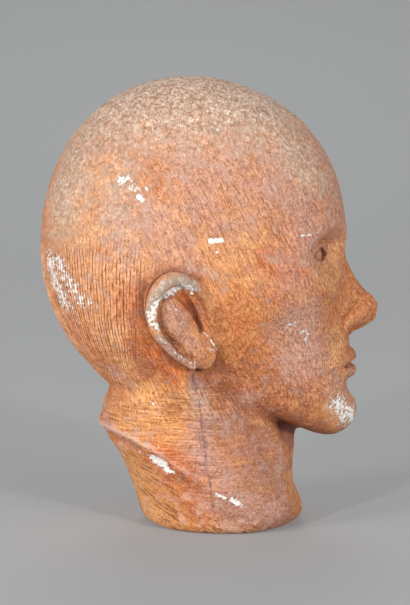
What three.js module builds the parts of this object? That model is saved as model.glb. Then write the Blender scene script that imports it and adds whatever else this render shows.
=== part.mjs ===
// A man's head with close-cropped hair, life size, cast as one piece and cut flat below the neck.
// It faces -Y. The origin is the middle of the flat underside, with +Z up, all in millimetres.
//
// The form is a distance field, negative inside. A point of the field is [side, front, up], with
// side measured from the middle plane, so both halves are alike. Shapes are joined and cut with
// rounded seams, and soft forms are swells of the surface along a path.

import * as THREE from "three";

// Driving dimensions

const surface = {
  low: [-96, -112, -6], high: [96, 128, 304], cell: 2.1, block: 6, blockReach: 1.5, nudge: 0.01,
  projections: 3, probe: 0.2, gentlest: 0.2, triangles: 9400, flatWithin: 0.3,
};

// Limits for joining points: how far a triangle may turn, how thin it may get, what length costs.
const joining = { turn: 0.3, thin: 0.08, perLength: 1e-3, level: 1e-5, stray: 4 };

const skull = {
  front: -19, up: 184, halfWidth: 77, halfLength: 100, above: 112, below: 106, belowInFront: 84,
  shallowFrom: -40, shallowTo: 20, taper: 0.09, squareness: 2.38, backSquareness: 2.14,
};

// The face is shaped looking straight ahead, then its chin is lifted by this much.
const tilt = { turn: 6, front: -10, up: 150, chin: 53, levelChin: 64, stretch: 1.047 };

const forehead = { at: [0, 22, 212], size: [55, 56, 58], seam: 22 };

// Sections of the lower face lie along the edge of the jaw, which rises towards the ear.
const jaw = {
  rise: 0.42, riseFrom: 66, riseLength: 70, middle: 8, back: 30, lowest: 60.5, floor: 59,
  floorSeam: 6, top: 180, topSeam: 10, seam: 16,
  front: [[59, 54], [62, 64], [66, 71.5], [72, 76], [82, 77.5], [110, 78], [128, 79], [150, 75], [175, 72]],
  halfWidth: [[59, 22], [62, 33], [66, 40], [73, 46], [84, 50], [100, 54], [120, 59], [145, 65], [175, 68]],
  squareness: [[60, 1.9], [80, 2.0], [120, 2.15], [160, 2.4]],
};

const chin = { at: [0, 64, 76.5], size: [19, 18, 12.5], seam: 10 };

// Soft forms of the face: a path, how far the swell reaches and how much it rises.
const faceSwells = {
  muzzle: { path: [[-12, 76, 116], [12, 76, 116]], reach: 21, by: 3.6 },
  mouthSide: { path: [[24, 66, 104]], reach: 18, by: 1.2 },
  jawCorner: { path: [[52, 2, 122], [50, 12, 106]], reach: 17, by: 2.6 },
  cheekbone: { path: [[44, 58, 158], [56, 44, 160]], reach: 12, by: 3.4 },
  cheekArch: { path: [[60, 34, 161], [68, 16, 162], [71, -2, 161]], reach: 13, by: 1.5 },
  temple: { path: [[62, 42, 196], [70, 20, 204]], reach: 21, by: -2.6 },
  cheekHollow: { path: [[54, 36, 134], [50, 40, 116]], reach: 18, by: -2.2 },
};

const brow = {
  ridge: [[7, 73, 190, 8], [24, 71.5, 194.5, 8], [40, 62, 195, 7], [50, 49, 190, 6]], seam: 10,
  socket: { at: [37, 80, 178.5], size: [25, 14.5, 13], turn: -24, seam: 9 },
};

const socketSwells = {
  innerCorner: { path: [[19, 70, 184]], reach: 6, by: -2.2 },
  browMiddle: { path: [[0, 80, 192]], reach: 9, by: 1.0 },
  lowerRim: { path: [[24, 69, 165], [38, 65, 161], [50, 54, 164]], reach: 8, by: 1.2 },
};

const eye = {
  at: [31.5, 54.5, 179.5], size: [15.2, 12.6, 12.6], turn: -9, lid: 2.3, seam: 5.5, region: 32,
  halfWidth: 14.2, above: 4.4, upperArch: 0.75, below: 3.9, lowerArch: 0.85, slant: 0.04, drop: 0.4,
  steepness: 0.9, cornerSeam: 0.5, edge: 1.1, shallowest: 7, bulge: 1.4,
  foldSpan: 1.34, foldArch: 0.6, fadeEnd: 19.2, fadeOver: 16, frontFrom: 2, frontOver: 4,
  crease: { high: 8.8, low: 2.2, depth: 1.4, width: 1.5 },
  pouch: { high: 8.2, low: 1.8, depth: 0.5, width: 1.8 },
};

const noseParts = {
  root: [[0, 64, 184, 8], [0, 69, 170, 10], [0, 72, 156, 13], [0, 75, 143, 15.5]],
  rootSeam: 9,
  bridge: [[0, 68, 184, 7.0], [0, 75.5, 170, 7.4], [0, 82.5, 156, 7.8], [0, 90, 143.5, 8.4]],
  bridgeSeam: 7,
  tip: { at: [0, 93, 139.8], size: [9.5, 10, 8.4], seam: 4 },
  body: { at: [7.5, 84, 135.5], size: [8.5, 11, 7.5], seam: 6 },
  wing: [
    [5.5, 93.5, 138.5, 5.2], [10.5, 89, 137.6, 5.2], [14.2, 82.5, 135.4, 5.0], [14.6, 77.5, 131.6, 4.4],
    [11.5, 75, 129.2, 3.4],
  ],
  wingSeam: 4.5,
  septum: [[0, 96.5, 134, 4.4], [0, 84, 128.5, 4.8]],
  septumSeam: 3,
  nostril: { at: [7.6, 87, 127.6], size: [3.3, 6.4, 5.6], turn: -20, seam: 1.8 },
};

const mouthParts = {
  upperLip: [
    [27, 63, 106, 1.5], [17, 74.5, 107.8, 3.2], [7, 80.6, 110.4, 4.0], [0, 81.6, 109.4, 4.0],
    [-7, 80.6, 110.4, 4.0],
  ],
  lowerLip: [[26, 63, 105, 1.5], [16, 74, 102.5, 4.0], [0, 79.5, 100.5, 5.2], [-8, 78.4, 100.9, 5]],
  seam: 3,
};

const mouthSwells = {
  innerEye: { path: [[16.5, 67, 178]], reach: 2.2, by: 0.8 },
  underEye: { path: [[21, 69, 168], [32, 68, 164.5], [43, 61, 167]], reach: 3.4, by: -0.5 },
  wingCrease: { path: [[20.5, 75.5, 129.5], [20.2, 79.5, 138], [15, 86, 143.5]], reach: 2.4, by: -1.2 },
  lipLine: {
    path: [[0, 83.8, 105.6], [12, 80.4, 105.8], [21, 74, 105.7], [26, 70, 105.4]], reach: 1.7, by: -2,
  },
  lipCorner: { path: [[28.5, 68, 105]], reach: 3.6, by: -1.2 },
  lipGroove: { path: [[0, 85, 125], [0, 86, 115]], reach: 2.8, by: -1.3 },
  lipGrooveSide: { path: [[4.6, 84, 125], [5.0, 86, 115]], reach: 2.0, by: 0.7 },
  underLip: { path: [[-12, 77, 90], [0, 80, 89.5], [12, 77, 90]], reach: 6, by: -2.2 },
  cheekFold: { path: [[21, 79, 136], [28, 73, 124], [33, 66, 112]], reach: 5.0, by: -0.9 },
};

// The neck is a column, trimmed below a sloping edge by a cone that narrows to the underside.
const neck = {
  front: [[0, 62], [9, 57.5], [20, 51], [32, 46.5], [44, 44], [54, 37], [66, 29], [84, 16], [110, 8]],
  back: [[0, -104], [30, -90], [52, -83], [68, -80.5], [80, -78], [92, -75], [110, -74]],
  halfWidth: [[0, 66.5], [25, 62.8], [50, 61], [75, 57], [100, 56], [120, 54]],
  squareness: 2.3, steepness: 0.95, top: 118, topSeam: 10,
  muscle: [[57, -34, 122, 11], [52, -14, 88, 13], [42, 12, 52, 13], [30, 32, 20, 12], [22, 42, -8, 11]],
  muscleSeam: 8,
  flank: [[48, -6, 92, 11], [46, 3, 76, 12], [43, 12, 60, 12.5], [38, 19, 44, 13]],
  frontEdge: [
    [46, -10, 100, 10], [43, 1, 88, 11.5], [38.5, 15, 75.6, 12], [35.5, 24, 66, 12.2], [32.5, 29, 57, 12.4],
    [29, 34, 45, 12.5], [25, 33, 32, 13], [25, 32, 16, 13],
  ],
  edgeSeam: 6,
  throat: [[0, 18, 96, 13], [0, 31, 76, 13], [0, 35.4, 60, 13.4], [0, 35.5, 44, 13.2], [0, 34, 28, 12.4]],
  throatSeam: 5,
  seamBehind: 6, seamInFront: 9, seamFrom: -45, seamOver: 50,
};

const neckSwells = {
  underJaw: { path: [[48, 8, 96], [42, 26, 84], [32, 42, 74]], reach: 9, by: -3 },
};

// The column overhangs the cone in a lip with a groove under it, and the foot is rounded.
const cone = {
  front: 62, back: [[0, -52], [18, -56.5], [31, -61], [45, -67], [58, -75.5], [70, -84], [90, -95]],
  halfWidth: 54, widening: 0.3, squareness: 2.05, steepness: 0.92, seam: 3,
  rim: [[-62, 13], [-25, 6], [12, 6], [52, 22]],
  lip: 1.3, lipWidth: 1.8, undercut: 1.3, undercutWidth: 2.4,
  alongEdge: [[-95, 1], [-55, 0.9], [-10, 0.5], [50, 0.25]],
};

// The cropped hair ends in a low lip above the nape.
const napeSwells = {
  hairLip: { path: [[0, -80, 101], [30, -72, 103], [52, -52, 107], [62, -40, 118]], reach: 7, by: 1.6 },
  underLip: { path: [[0, -77, 90], [30, -70, 92], [52, -50, 96]], reach: 5, by: -1.2 },
};

// The ear is shaped in a frame of its own: back, up and out.
const ear = {
  at: [75, -26, 142], lean: 33, flare: 18, roll: 12, tall: 1.1, region: [46, 50, 60], seam: 5,
  plate: { at: [0, 2, -3], size: [18.5, 28, 5] },
  lobe: { at: [-2.5, -24, -1.5], size: [8.5, 8.8, 4.6], seam: 5 },
  root: { at: [-5, -1, -12], size: [14, 25, 12], seam: 7 },
  rim: [
    [-18, 3, 1, 2.2], [-18.8, 13, 4.4, 3.0], [-13.6, 23, 5.2, 4.0], [-5, 27, 5.2, 4.6], [5, 24.6, 4.8, 4.5],
    [13, 17, 4.4, 4.1], [16.8, 7, 3.8, 3.7], [16, -4, 3, 3.2], [12.5, -15, 2.2, 2.8], [7.5, -25, 1, 2.6],
  ],
  rimSeam: 2.4,
  upperFold: { at: [1.6, 5, 0.6], size: [10.8, 15, 7], seam: 3 },
  lowerFold: { at: [-1, -12, -0.4], size: [9.4, 15, 6.4], seam: 4 },
  grooves: {
    insideRim: {
      path: [[-8, 18.5, 6], [0, 20, 6], [9.4, 15.6, 6], [13.2, 6, 5.6], [12.8, -5, 5], [10, -15.5, 4]],
      reach: 1.6, by: -1.1,
    },
    towardsLobe: { path: [[9, -17, 3.6], [3, -26, 3]], reach: 2, by: -0.7 },
  },
  slot: [
    [-7.6, 18, 5, 2.2], [-9.4, 11, 2.6, 3.0], [-10, 4, 1.2, 2.8], [-9.4, -3, 1.4, 2.2], [-9, -9.6, 2.4, 1.3],
  ],
  hollow: [[-12, 14, 7.4, 3.8], [-14.2, 4, 5.8, 4.2], [-13, -7, 5, 3.4], [-12, -14, 4.6, 1.8]],
  cutSeam: 2,
};

const paintedPlaster = { color: "#b9713f", roughness: 0.8, metalness: 0 };

// Distances and how they are joined

const far = 1000;
const slack = 14;
const steps = { tube: 6, swell: 4 };
const swellReach = 2.6;
const radians = (degrees) => (degrees * Math.PI) / 180;
const clamp = (x, low, high) => Math.min(high, Math.max(low, x));

function ramp(x, low, high) {
  const t = clamp((x - low) / (high - low), 0, 1);
  return t * t * (3 - 2 * t);
}

function blend(a, b, seam) {
  const share = clamp(0.5 + (0.5 * (b - a)) / seam, 0, 1);
  return b + (a - b) * share - seam * share * (1 - share);
}

const without = (a, b, seam) => -blend(-a, b, seam);
const both = (a, b, seam) => -blend(-a, -b, seam);

// A smooth curve through rows of [place, value], without overshoot, held level past its ends.
function profile(rows) {
  const count = rows.length;
  const slopes = rows.slice(1).map((row, i) => (row[1] - rows[i][1]) / (row[0] - rows[i][0]));
  const tangents = rows.map((_, i) => {
    if (i === 0) return slopes[0];
    if (i === count - 1) return slopes[count - 2];
    return slopes[i - 1] * slopes[i] <= 0 ? 0 : 2 / (1 / slopes[i - 1] + 1 / slopes[i]);
  });
  return (place) => {
    const x = clamp(place, rows[0][0], rows[count - 1][0]);
    let i = 0;
    while (i < count - 2 && x > rows[i + 1][0]) i += 1;
    const step = rows[i + 1][0] - rows[i][0];
    const t = (x - rows[i][0]) / step;
    const rise = t * t * (3 - 2 * t);
    const leave = t * (1 - t) * (1 - t) * step * tangents[i];
    const arrive = t * t * (t - 1) * step * tangents[i + 1];
    return rows[i][1] * (1 - rise) + rows[i + 1][1] * rise + leave + arrive;
  };
}

// Points of a smooth path through rows of numbers, with a few steps between rows.
function smoothPath(rows, steps) {
  if (rows.length === 1) return rows;
  const mirror = (end, inner) => end.map((value, i) => 2 * value - inner[i]);
  const all = [mirror(rows[0], rows[1]), ...rows, mirror(rows.at(-1), rows.at(-2))];
  const points = [];
  for (let i = 1; i < all.length - 2; i += 1) {
    for (let j = 0; j < steps; j += 1) {
      const t = j / steps;
      const [a, b, c, d] = all.slice(i - 1, i + 3);
      points.push(b.map((_, n) => (
        b[n] + ((c[n] - a[n]) * t + (2 * a[n] - 5 * b[n] + 4 * c[n] - d[n]) * t * t
          + (3 * b[n] - a[n] - 3 * c[n] + d[n]) * t * t * t) / 2
      )));
    }
  }
  points.push(rows.at(-1));
  return points;
}

// The distance from a point to a path, less the path's radius where it has one.
function distanceToPath(p, path) {
  let nearest = Infinity;
  let radius = 0;
  const last = Math.max(1, path.length - 1);
  for (let i = 0; i < last; i += 1) {
    const a = path[i];
    const b = path[Math.min(i + 1, path.length - 1)];
    const ab = [b[0] - a[0], b[1] - a[1], b[2] - a[2]];
    const ap = [p[0] - a[0], p[1] - a[1], p[2] - a[2]];
    const length = ab[0] * ab[0] + ab[1] * ab[1] + ab[2] * ab[2];
    const along = length > 0 ? ab[0] * ap[0] + ab[1] * ap[1] + ab[2] * ap[2] : 0;
    const t = length > 0 ? clamp(along / length, 0, 1) : 0;
    const x = ap[0] - t * ab[0];
    const y = ap[1] - t * ab[1];
    const z = ap[2] - t * ab[2];
    const square = x * x + y * y + z * z;
    if (square < nearest) {
      nearest = square;
      radius = a.length > 3 ? a[3] + t * (b[3] - a[3]) : 0;
    }
  }
  return Math.sqrt(nearest) - radius;
}

// An ellipsoid, turned about the upright axis.
function ball(at, size, turn = 0) {
  const c = Math.cos(radians(turn));
  const s = Math.sin(radians(turn));
  return (p) => {
    const x = p[0] - at[0];
    const y = p[1] - at[1];
    const a = (c * x + s * y) / size[0];
    const b = (c * y - s * x) / size[1];
    const e = (p[2] - at[2]) / size[2];
    const scaled = Math.sqrt(a * a + b * b + e * e);
    const steepness = Math.sqrt((a / size[0]) ** 2 + (b / size[1]) ** 2 + (e / size[2]) ** 2);
    return (scaled * (scaled - 1)) / (steepness + 1e-9);
  };
}

// A form is a list of steps, each working on the distance inside its own box.
class Form {
  steps = [];

  step(points, reach, work) {
    const low = [0, 1, 2].map((i) => Math.min(...points.map((p) => p[i])) - reach);
    const high = [0, 1, 2].map((i) => Math.max(...points.map((p) => p[i])) + reach);
    this.steps.push({ low, high, work });
  }

  everywhere(work) {
    this.step([[0, 0, 0]], far, work);
  }

  ball(join, { at, size, turn, seam }) {
    const shape = ball(at, size, turn);
    this.step([at], Math.max(...size) + seam + slack, (d, p) => join(d, shape(p), seam));
  }

  tube(join, rows, seam) {
    const path = smoothPath(rows, steps.tube);
    const reach = Math.max(...path.map((row) => row[3])) + seam + slack;
    this.step(path, reach, (d, p) => join(d, distanceToPath(p, path), seam));
  }

  swell({ path: rows, reach, by }) {
    const path = smoothPath(rows, steps.swell);
    const height = (p) => by * Math.exp(-((distanceToPath(p, path) / reach) ** 2));
    this.step(path, swellReach * reach, (d, p) => d - height(p));
  }

  swells(group) {
    for (const part of Object.values(group)) this.swell(part);
  }

  at(p, start = far) {
    const [x, y, z] = p;
    let d = start;
    for (const { low, high, work } of this.steps) {
      const within = x > low[0] && x < high[0] && y > low[1] && y < high[1] && z > low[2] && z < high[2];
      if (within) d = work(d, p);
    }
    return d;
  }
}

// Parts of the head

function skullAt([side, front, up]) {
  const along = (front - skull.front) / skull.halfLength;
  const shallow = ramp(front, skull.shallowFrom, skull.shallowTo);
  const below = skull.below + (skull.belowInFront - skull.below) * shallow;
  const rise = (up - skull.up) / (up > skull.up ? skull.above : below);
  const across = side / (skull.halfWidth * (1 - skull.taper * clamp(along, -1, 1)));
  const corner = along < 0 && rise > 0 ? skull.backSquareness : 2;
  const lengthwise = (Math.abs(along) ** corner + Math.abs(rise) ** corner) ** (1 / corner);
  const n = skull.squareness;
  const scaled = (Math.abs(across) ** n + lengthwise ** n) ** (1 / n);
  const steepness = Math.sqrt(
    (across / skull.halfWidth) ** 2 + (along / skull.halfLength) ** 2 + (rise / skull.above) ** 2,
  );
  return (scaled - 1) / (steepness / Math.max(scaled, 1e-3) + 1e-6);
}

// The distance to a level section with a rounded, slightly square outline.
function sectionAt(side, front, middle, half, halfWidth, squareness) {
  const along = Math.abs((front - middle) / half) ** squareness;
  const across = (side / halfWidth) ** squareness;
  const scaled = (along + across) ** (1 / squareness);
  const away = Math.sqrt((front - middle) ** 2 + side ** 2);
  return away * (1 - 1 / Math.max(scaled, 0.01));
}

const jawFront = profile(jaw.front);
const jawHalfWidth = profile(jaw.halfWidth);
const jawSquareness = profile(jaw.squareness);

function jawAt([side, front, up]) {
  const height = up - jaw.rise * clamp(jaw.riseFrom - front, 0, jaw.riseLength);
  const level = Math.max(height, jaw.lowest);
  const section = (z) => {
    const half = front > jaw.middle ? jawFront(z) - jaw.middle : jaw.back;
    return sectionAt(side, front, jaw.middle, half, jawHalfWidth(z), jawSquareness(z));
  };
  const slope = (section(level + 1) - section(level - 1)) / 2;
  const wall = section(level) / Math.sqrt(1 + slope * slope);
  return both(both(wall, jaw.floor - height, jaw.floorSeam), up - jaw.top, jaw.topSeam);
}

// Eyeball, lids with an almond opening, the fold above them and the pouch below.
function addEye(form) {
  const c = Math.cos(radians(eye.turn));
  const s = Math.sin(radians(eye.turn));
  const globe = ball([0, 0, 0], eye.size.map((r) => r + eye.bulge));
  const lids = ball([0, 0, 0], eye.size.map((r) => r + eye.lid));
  form.step([eye.at], eye.region, (d, p) => {
    const dx = p[0] - eye.at[0];
    const dy = p[1] - eye.at[1];
    const q = [c * dx + s * dy, c * dy - s * dx, p[2] - eye.at[2]];
    let skin = blend(d, lids(q), eye.seam);
    const arch = Math.max(1 - (q[0] / eye.halfWidth) ** 2, 0);
    const height = q[2] + eye.drop - eye.slant * q[0];
    const lens = height > 0
      ? height - eye.above * arch ** eye.upperArch
      : -height - eye.below * arch ** eye.lowerArch;
    const almond = both(eye.steepness * lens, Math.abs(q[0]) - eye.halfWidth, eye.cornerSeam);
    const opening = Math.max(almond, eye.shallowest - q[1]);
    const wideArch = Math.max(1 - (q[0] / (eye.halfWidth * eye.foldSpan)) ** 2, 0) ** eye.foldArch;
    const fade = clamp((eye.fadeEnd - Math.abs(q[0])) / eye.fadeOver, 0, 1)
      * clamp((q[1] - eye.frontFrom) / eye.frontOver, 0, 1);
    for (const [sign, { high, low, depth, width }] of [[1, eye.crease], [-1, eye.pouch]]) {
      const away = sign * height - low - (high - low) * wideArch;
      skin += depth * Math.exp(-((away / width) ** 2)) * fade;
    }
    return Math.min(without(skin, opening, eye.edge), globe(q));
  });
}

function shapeFace() {
  const face = new Form();
  face.ball(blend, forehead);
  face.everywhere((d, p) => blend(d, jawAt(p), jaw.seam));
  face.ball(blend, chin);
  face.swells(faceSwells);
  face.tube(blend, brow.ridge, brow.seam);
  face.ball(without, brow.socket);
  face.swells(socketSwells);
  addEye(face);
  face.tube(blend, noseParts.root, noseParts.rootSeam);
  face.tube(blend, noseParts.bridge, noseParts.bridgeSeam);
  face.ball(blend, noseParts.tip);
  face.ball(blend, noseParts.body);
  face.tube(blend, noseParts.wing, noseParts.wingSeam);
  face.tube(blend, noseParts.septum, noseParts.septumSeam);
  face.ball(without, noseParts.nostril);
  face.tube(blend, mouthParts.upperLip, mouthParts.seam);
  face.tube(blend, mouthParts.lowerLip, mouthParts.seam);
  face.swells(mouthSwells);
  return face;
}

// Brings a point of the lifted head back to the level face.
function levelPoint([side, front, up]) {
  const c = Math.cos(radians(tilt.turn));
  const s = Math.sin(radians(tilt.turn));
  const f = front - tilt.front;
  const u = up - tilt.up;
  const height = u * c - f * s + tilt.up;
  return [side, f * c + u * s + tilt.front, tilt.levelChin + (height - tilt.chin) / tilt.stretch];
}

const neckFront = profile(neck.front);
const neckBack = profile(neck.back);
const neckHalfWidth = profile(neck.halfWidth);
const coneBack = profile(cone.back);
const coneRim = profile(cone.rim);
const coneEdge = profile(cone.alongEdge);

function shapeNeck() {
  const form = new Form();
  form.everywhere((d, [side, front, up]) => {
    const [ahead, behind] = [neckFront(up), neckBack(up)];
    const column = sectionAt(
      side, front, (ahead + behind) / 2, (ahead - behind) / 2, neckHalfWidth(up), neck.squareness,
    );
    return both(neck.steepness * column, up - neck.top, neck.topSeam);
  });
  form.tube(blend, neck.muscle, neck.muscleSeam);
  form.tube(blend, neck.flank, neck.edgeSeam);
  form.tube(blend, neck.frontEdge, neck.edgeSeam);
  form.tube(blend, neck.throat, neck.throatSeam);
  form.swells(neckSwells);
  form.everywhere((d, [side, front, up]) => {
    const behind = coneBack(up);
    const halfWidth = cone.halfWidth + cone.widening * up;
    const wall = cone.steepness * sectionAt(
      side, front, (cone.front + behind) / 2, (cone.front - behind) / 2, halfWidth, cone.squareness,
    );
    const past = wall - d;
    const lip = cone.lip * Math.exp(-((past / cone.lipWidth + 1) ** 2));
    const undercut = cone.undercut * Math.exp(-((past / cone.undercutWidth - 1) ** 2));
    return both(d, wall, cone.seam) + coneEdge(front) * (undercut - lip);
  });
  return form;
}

function shapeEar() {
  const form = new Form();
  const plate = ball(ear.plate.at, ear.plate.size);
  form.everywhere((d, p) => plate(p));
  form.ball(blend, ear.lobe);
  form.ball(blend, ear.root);
  form.tube(blend, ear.rim, ear.rimSeam);
  form.ball(blend, ear.upperFold);
  form.ball(blend, ear.lowerFold);
  form.swells(ear.grooves);
  return form;
}

// The ear's own axes, back, up and out, seen from the head.
function earAxes() {
  const turned = (a, b, degrees) => [
    a.clone().multiplyScalar(Math.cos(radians(degrees))).addScaledVector(b, Math.sin(radians(degrees))),
    b.clone().multiplyScalar(Math.cos(radians(degrees))).addScaledVector(a, -Math.sin(radians(degrees))),
  ];
  const [up, forward] = turned(new THREE.Vector3(0, 0, 1), new THREE.Vector3(0, 1, 0), -ear.lean);
  const [back, leaningOut] = turned(forward.negate(), new THREE.Vector3(1, 0, 0), ear.flare);
  const [raised, out] = turned(up, leaningOut, ear.roll);
  return [back, raised, out];
}

function shapeHead() {
  const face = shapeFace();
  const column = shapeNeck();
  const earForm = shapeEar();
  const axes = earAxes();
  const cuts = [ear.hollow, ear.slot].map((rows) => smoothPath(rows, steps.tube));
  const head = new Form();
  head.everywhere((d, p) => face.at(levelPoint(p), skullAt(p)));
  head.everywhere((d, p) => {
    const forward = clamp((p[1] - neck.seamFrom) / neck.seamOver, 0, 1);
    return blend(d, column.at(p), neck.seamBehind + (neck.seamInFront - neck.seamBehind) * forward);
  });
  head.swells(napeSwells);
  const corners = [-1, 1].map((sign) => ear.at.map((value, i) => value + sign * ear.region[i]));
  head.step(corners, 0, (d, p) => {
    const away = new THREE.Vector3(p[0] - ear.at[0], p[1] - ear.at[1], p[2] - ear.at[2]);
    const q = axes.map((axis) => axis.dot(away));
    q[1] /= ear.tall;
    const joined = blend(d, earForm.at(q), ear.seam);
    return cuts.reduce((left, cut) => without(left, distanceToPath(q, cut), ear.cutSeam), joined);
  });
  head.everywhere((d, p) => both(d, -p[2], coneRim(p[1])));
  return head;
}

// Surface of the field

const head = shapeHead();
const distance = (x, y, z) => head.at([Math.abs(x), -y, z]);

// Where the corners of a grid square lie inside and outside by turns, or a cell has only two
// opposite corners on one side, the surface would touch itself. The corner that lies nearest to
// the surface then changes sides.
function keepApart(values, index, size, across, set) {
  const squares = [[[1, 0, 0], [0, 1, 0]], [[0, 1, 0], [0, 0, 1]], [[0, 0, 1], [1, 0, 0]]];
  const corners = [0, 1, 2, 3, 4, 5, 6, 7].map((n) => [n & 1, (n >> 1) & 1, (n >> 2) & 1]);
  const add = (a, b) => a.map((value, n) => value + b[n]);
  const valueAt = (p) => values[index(...p)];
  const swap = (list) => {
    const nearest = list.reduce((a, b) => (Math.abs(valueAt(b)) < Math.abs(valueAt(a)) ? b : a));
    set(...nearest, valueAt(nearest) < 0 ? surface.nudge : -surface.nudge);
  };
  const sameSide = (a, b) => valueAt(a) < 0 === valueAt(b) < 0;
  let changes = 1;
  while (changes > 0) {
    changes = 0;
    for (let i = across; i < size[0] - 1; i += 1) {
      for (let j = 0; j < size[1] - 1; j += 1) {
        for (let k = 0; k < size[2] - 1; k += 1) {
          if (Math.abs(values[index(i, j, k)]) > 3 * surface.cell) continue;
          for (const [u, v] of squares) {
            const around = [[i, j, k], add([i, j, k], u), add(add([i, j, k], u), v), add([i, j, k], v)];
            const [a, b, c, d] = around;
            if (sameSide(a, c) && sameSide(b, d) && !sameSide(a, b)) {
              swap(around);
              changes += 1;
            }
          }
          for (let n = 0; n < 4; n += 1) {
            const pair = [add([i, j, k], corners[n]), add([i, j, k], corners[7 - n])];
            if (!sameSide(...pair)) continue;
            const alike = corners.filter((corner) => sameSide(pair[0], add([i, j, k], corner)));
            if (alike.length === 2) {
              swap(pair);
              changes += 1;
            }
          }
        }
      }
    }
  }
}

// The surface passes through every cell of the grid whose corners lie on both sides of it.
function tessellate(low, high, cell) {
  const across = Math.ceil(high[0] / cell) + 1;
  const size = [2 * across + 1, ...[1, 2].map((i) => Math.ceil((high[i] - low[i]) / cell) + 1)];
  const place = (i, j, k) => [(i - across) * cell, low[1] + j * cell, low[2] + k * cell];
  const index = (i, j, k) => (i * size[1] + j) * size[2] + k;
  const values = new Float32Array(size[0] * size[1] * size[2]).fill(far);
  const { block, blockReach } = surface;
  for (let bi = across; bi < size[0]; bi += block) {
    for (let bj = 0; bj < size[1]; bj += block) {
      for (let bk = 0; bk < size[2]; bk += block) {
        const half = (block - 1) / 2;
        const middle = distance(...place(bi + half, bj + half, bk + half));
        const near = Math.abs(middle) < block * cell * blockReach;
        for (let i = bi; i < Math.min(bi + block, size[0]); i += 1) {
          for (let j = bj; j < Math.min(bj + block, size[1]); j += 1) {
            for (let k = bk; k < Math.min(bk + block, size[2]); k += 1) {
              const value = near ? distance(...place(i, j, k)) : middle;
              values[index(i, j, k)] = value;
              values[index(2 * across - i, j, k)] = value;
            }
          }
        }
      }
    }
  }
  const mirrored = (i, j, k, value) => {
    values[index(i, j, k)] = value;
    values[index(2 * across - i, j, k)] = value;
  };
  keepApart(values, index, size, across, mirrored);
  const corners = [0, 1, 2, 3, 4, 5, 6, 7].map((n) => [n & 1, (n >> 1) & 1, (n >> 2) & 1]);
  const edges = [];
  for (let a = 0; a < 8; a += 1) {
    for (const bit of [1, 2, 4]) if (!(a & bit)) edges.push([a, a | bit]);
  }
  const vertexOf = new Int32Array(values.length).fill(-1);
  const points = [];
  for (let i = 0; i < size[0] - 1; i += 1) {
    for (let j = 0; j < size[1] - 1; j += 1) {
      for (let k = 0; k < size[2] - 1; k += 1) {
        const at = corners.map(([a, b, c]) => values[index(i + a, j + b, k + c)]);
        if (at.every((value) => value < 0) || at.every((value) => value >= 0)) continue;
        const sum = [0, 0, 0];
        let count = 0;
        for (const [a, b] of edges) {
          if (at[a] < 0 === at[b] < 0) continue;
          const t = at[a] / (at[a] - at[b]);
          for (let n = 0; n < 3; n += 1) sum[n] += corners[a][n] + t * (corners[b][n] - corners[a][n]);
          count += 1;
        }
        vertexOf[index(i, j, k)] = points.length;
        points.push(place(i + sum[0] / count, j + sum[1] / count, k + sum[2] / count));
      }
    }
  }
  const faces = [];
  const quad = (a, b, c, d) => {
    const length = (m, n) => (points[m][0] - points[n][0]) ** 2 + (points[m][1] - points[n][1]) ** 2
      + (points[m][2] - points[n][2]) ** 2;
    if (length(a, c) < length(b, d)) faces.push([a, b, c], [a, c, d]);
    else faces.push([a, b, d], [b, c, d]);
  };
  const units = [[1, 0, 0], [0, 1, 0], [0, 0, 1]];
  for (let i = 1; i < size[0] - 1; i += 1) {
    for (let j = 1; j < size[1] - 1; j += 1) {
      for (let k = 1; k < size[2] - 1; k += 1) {
        const here = values[index(i, j, k)] < 0;
        units.forEach((unit, n) => {
          if (here === values[index(i + unit[0], j + unit[1], k + unit[2])] < 0) return;
          const u = units[(n + 1) % 3];
          const v = units[(n + 2) % 3];
          const around = [[1, 1], [0, 1], [0, 0], [1, 0]].map(([a, b]) => (
            vertexOf[index(i - a * u[0] - b * v[0], j - a * u[1] - b * v[1], k - a * u[2] - b * v[2])]
          ));
          quad(...(here ? around : around.reverse()));
        });
      }
    }
  }
  return { points, faces };
}

function pullToSurface(points, times) {
  const { probe, gentlest } = surface;
  for (const point of points) {
    for (let n = 0; n < times; n += 1) {
      const d = distance(...point);
      const slope = [0, 1, 2].map((axis) => {
        const shifted = (by) => distance(...point.map((value, i) => (i === axis ? value + by : value)));
        return (shifted(probe) - shifted(-probe)) / (2 * probe);
      });
      const steep = Math.max(slope[0] ** 2 + slope[1] ** 2 + slope[2] ** 2, gentlest);
      const share = Math.min(1, surface.cell / (Math.abs(d) / Math.sqrt(steep) + 1e-9));
      slope.forEach((value, axis) => {
        point[axis] -= (share * d * value) / steep;
      });
    }
  }
}

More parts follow.
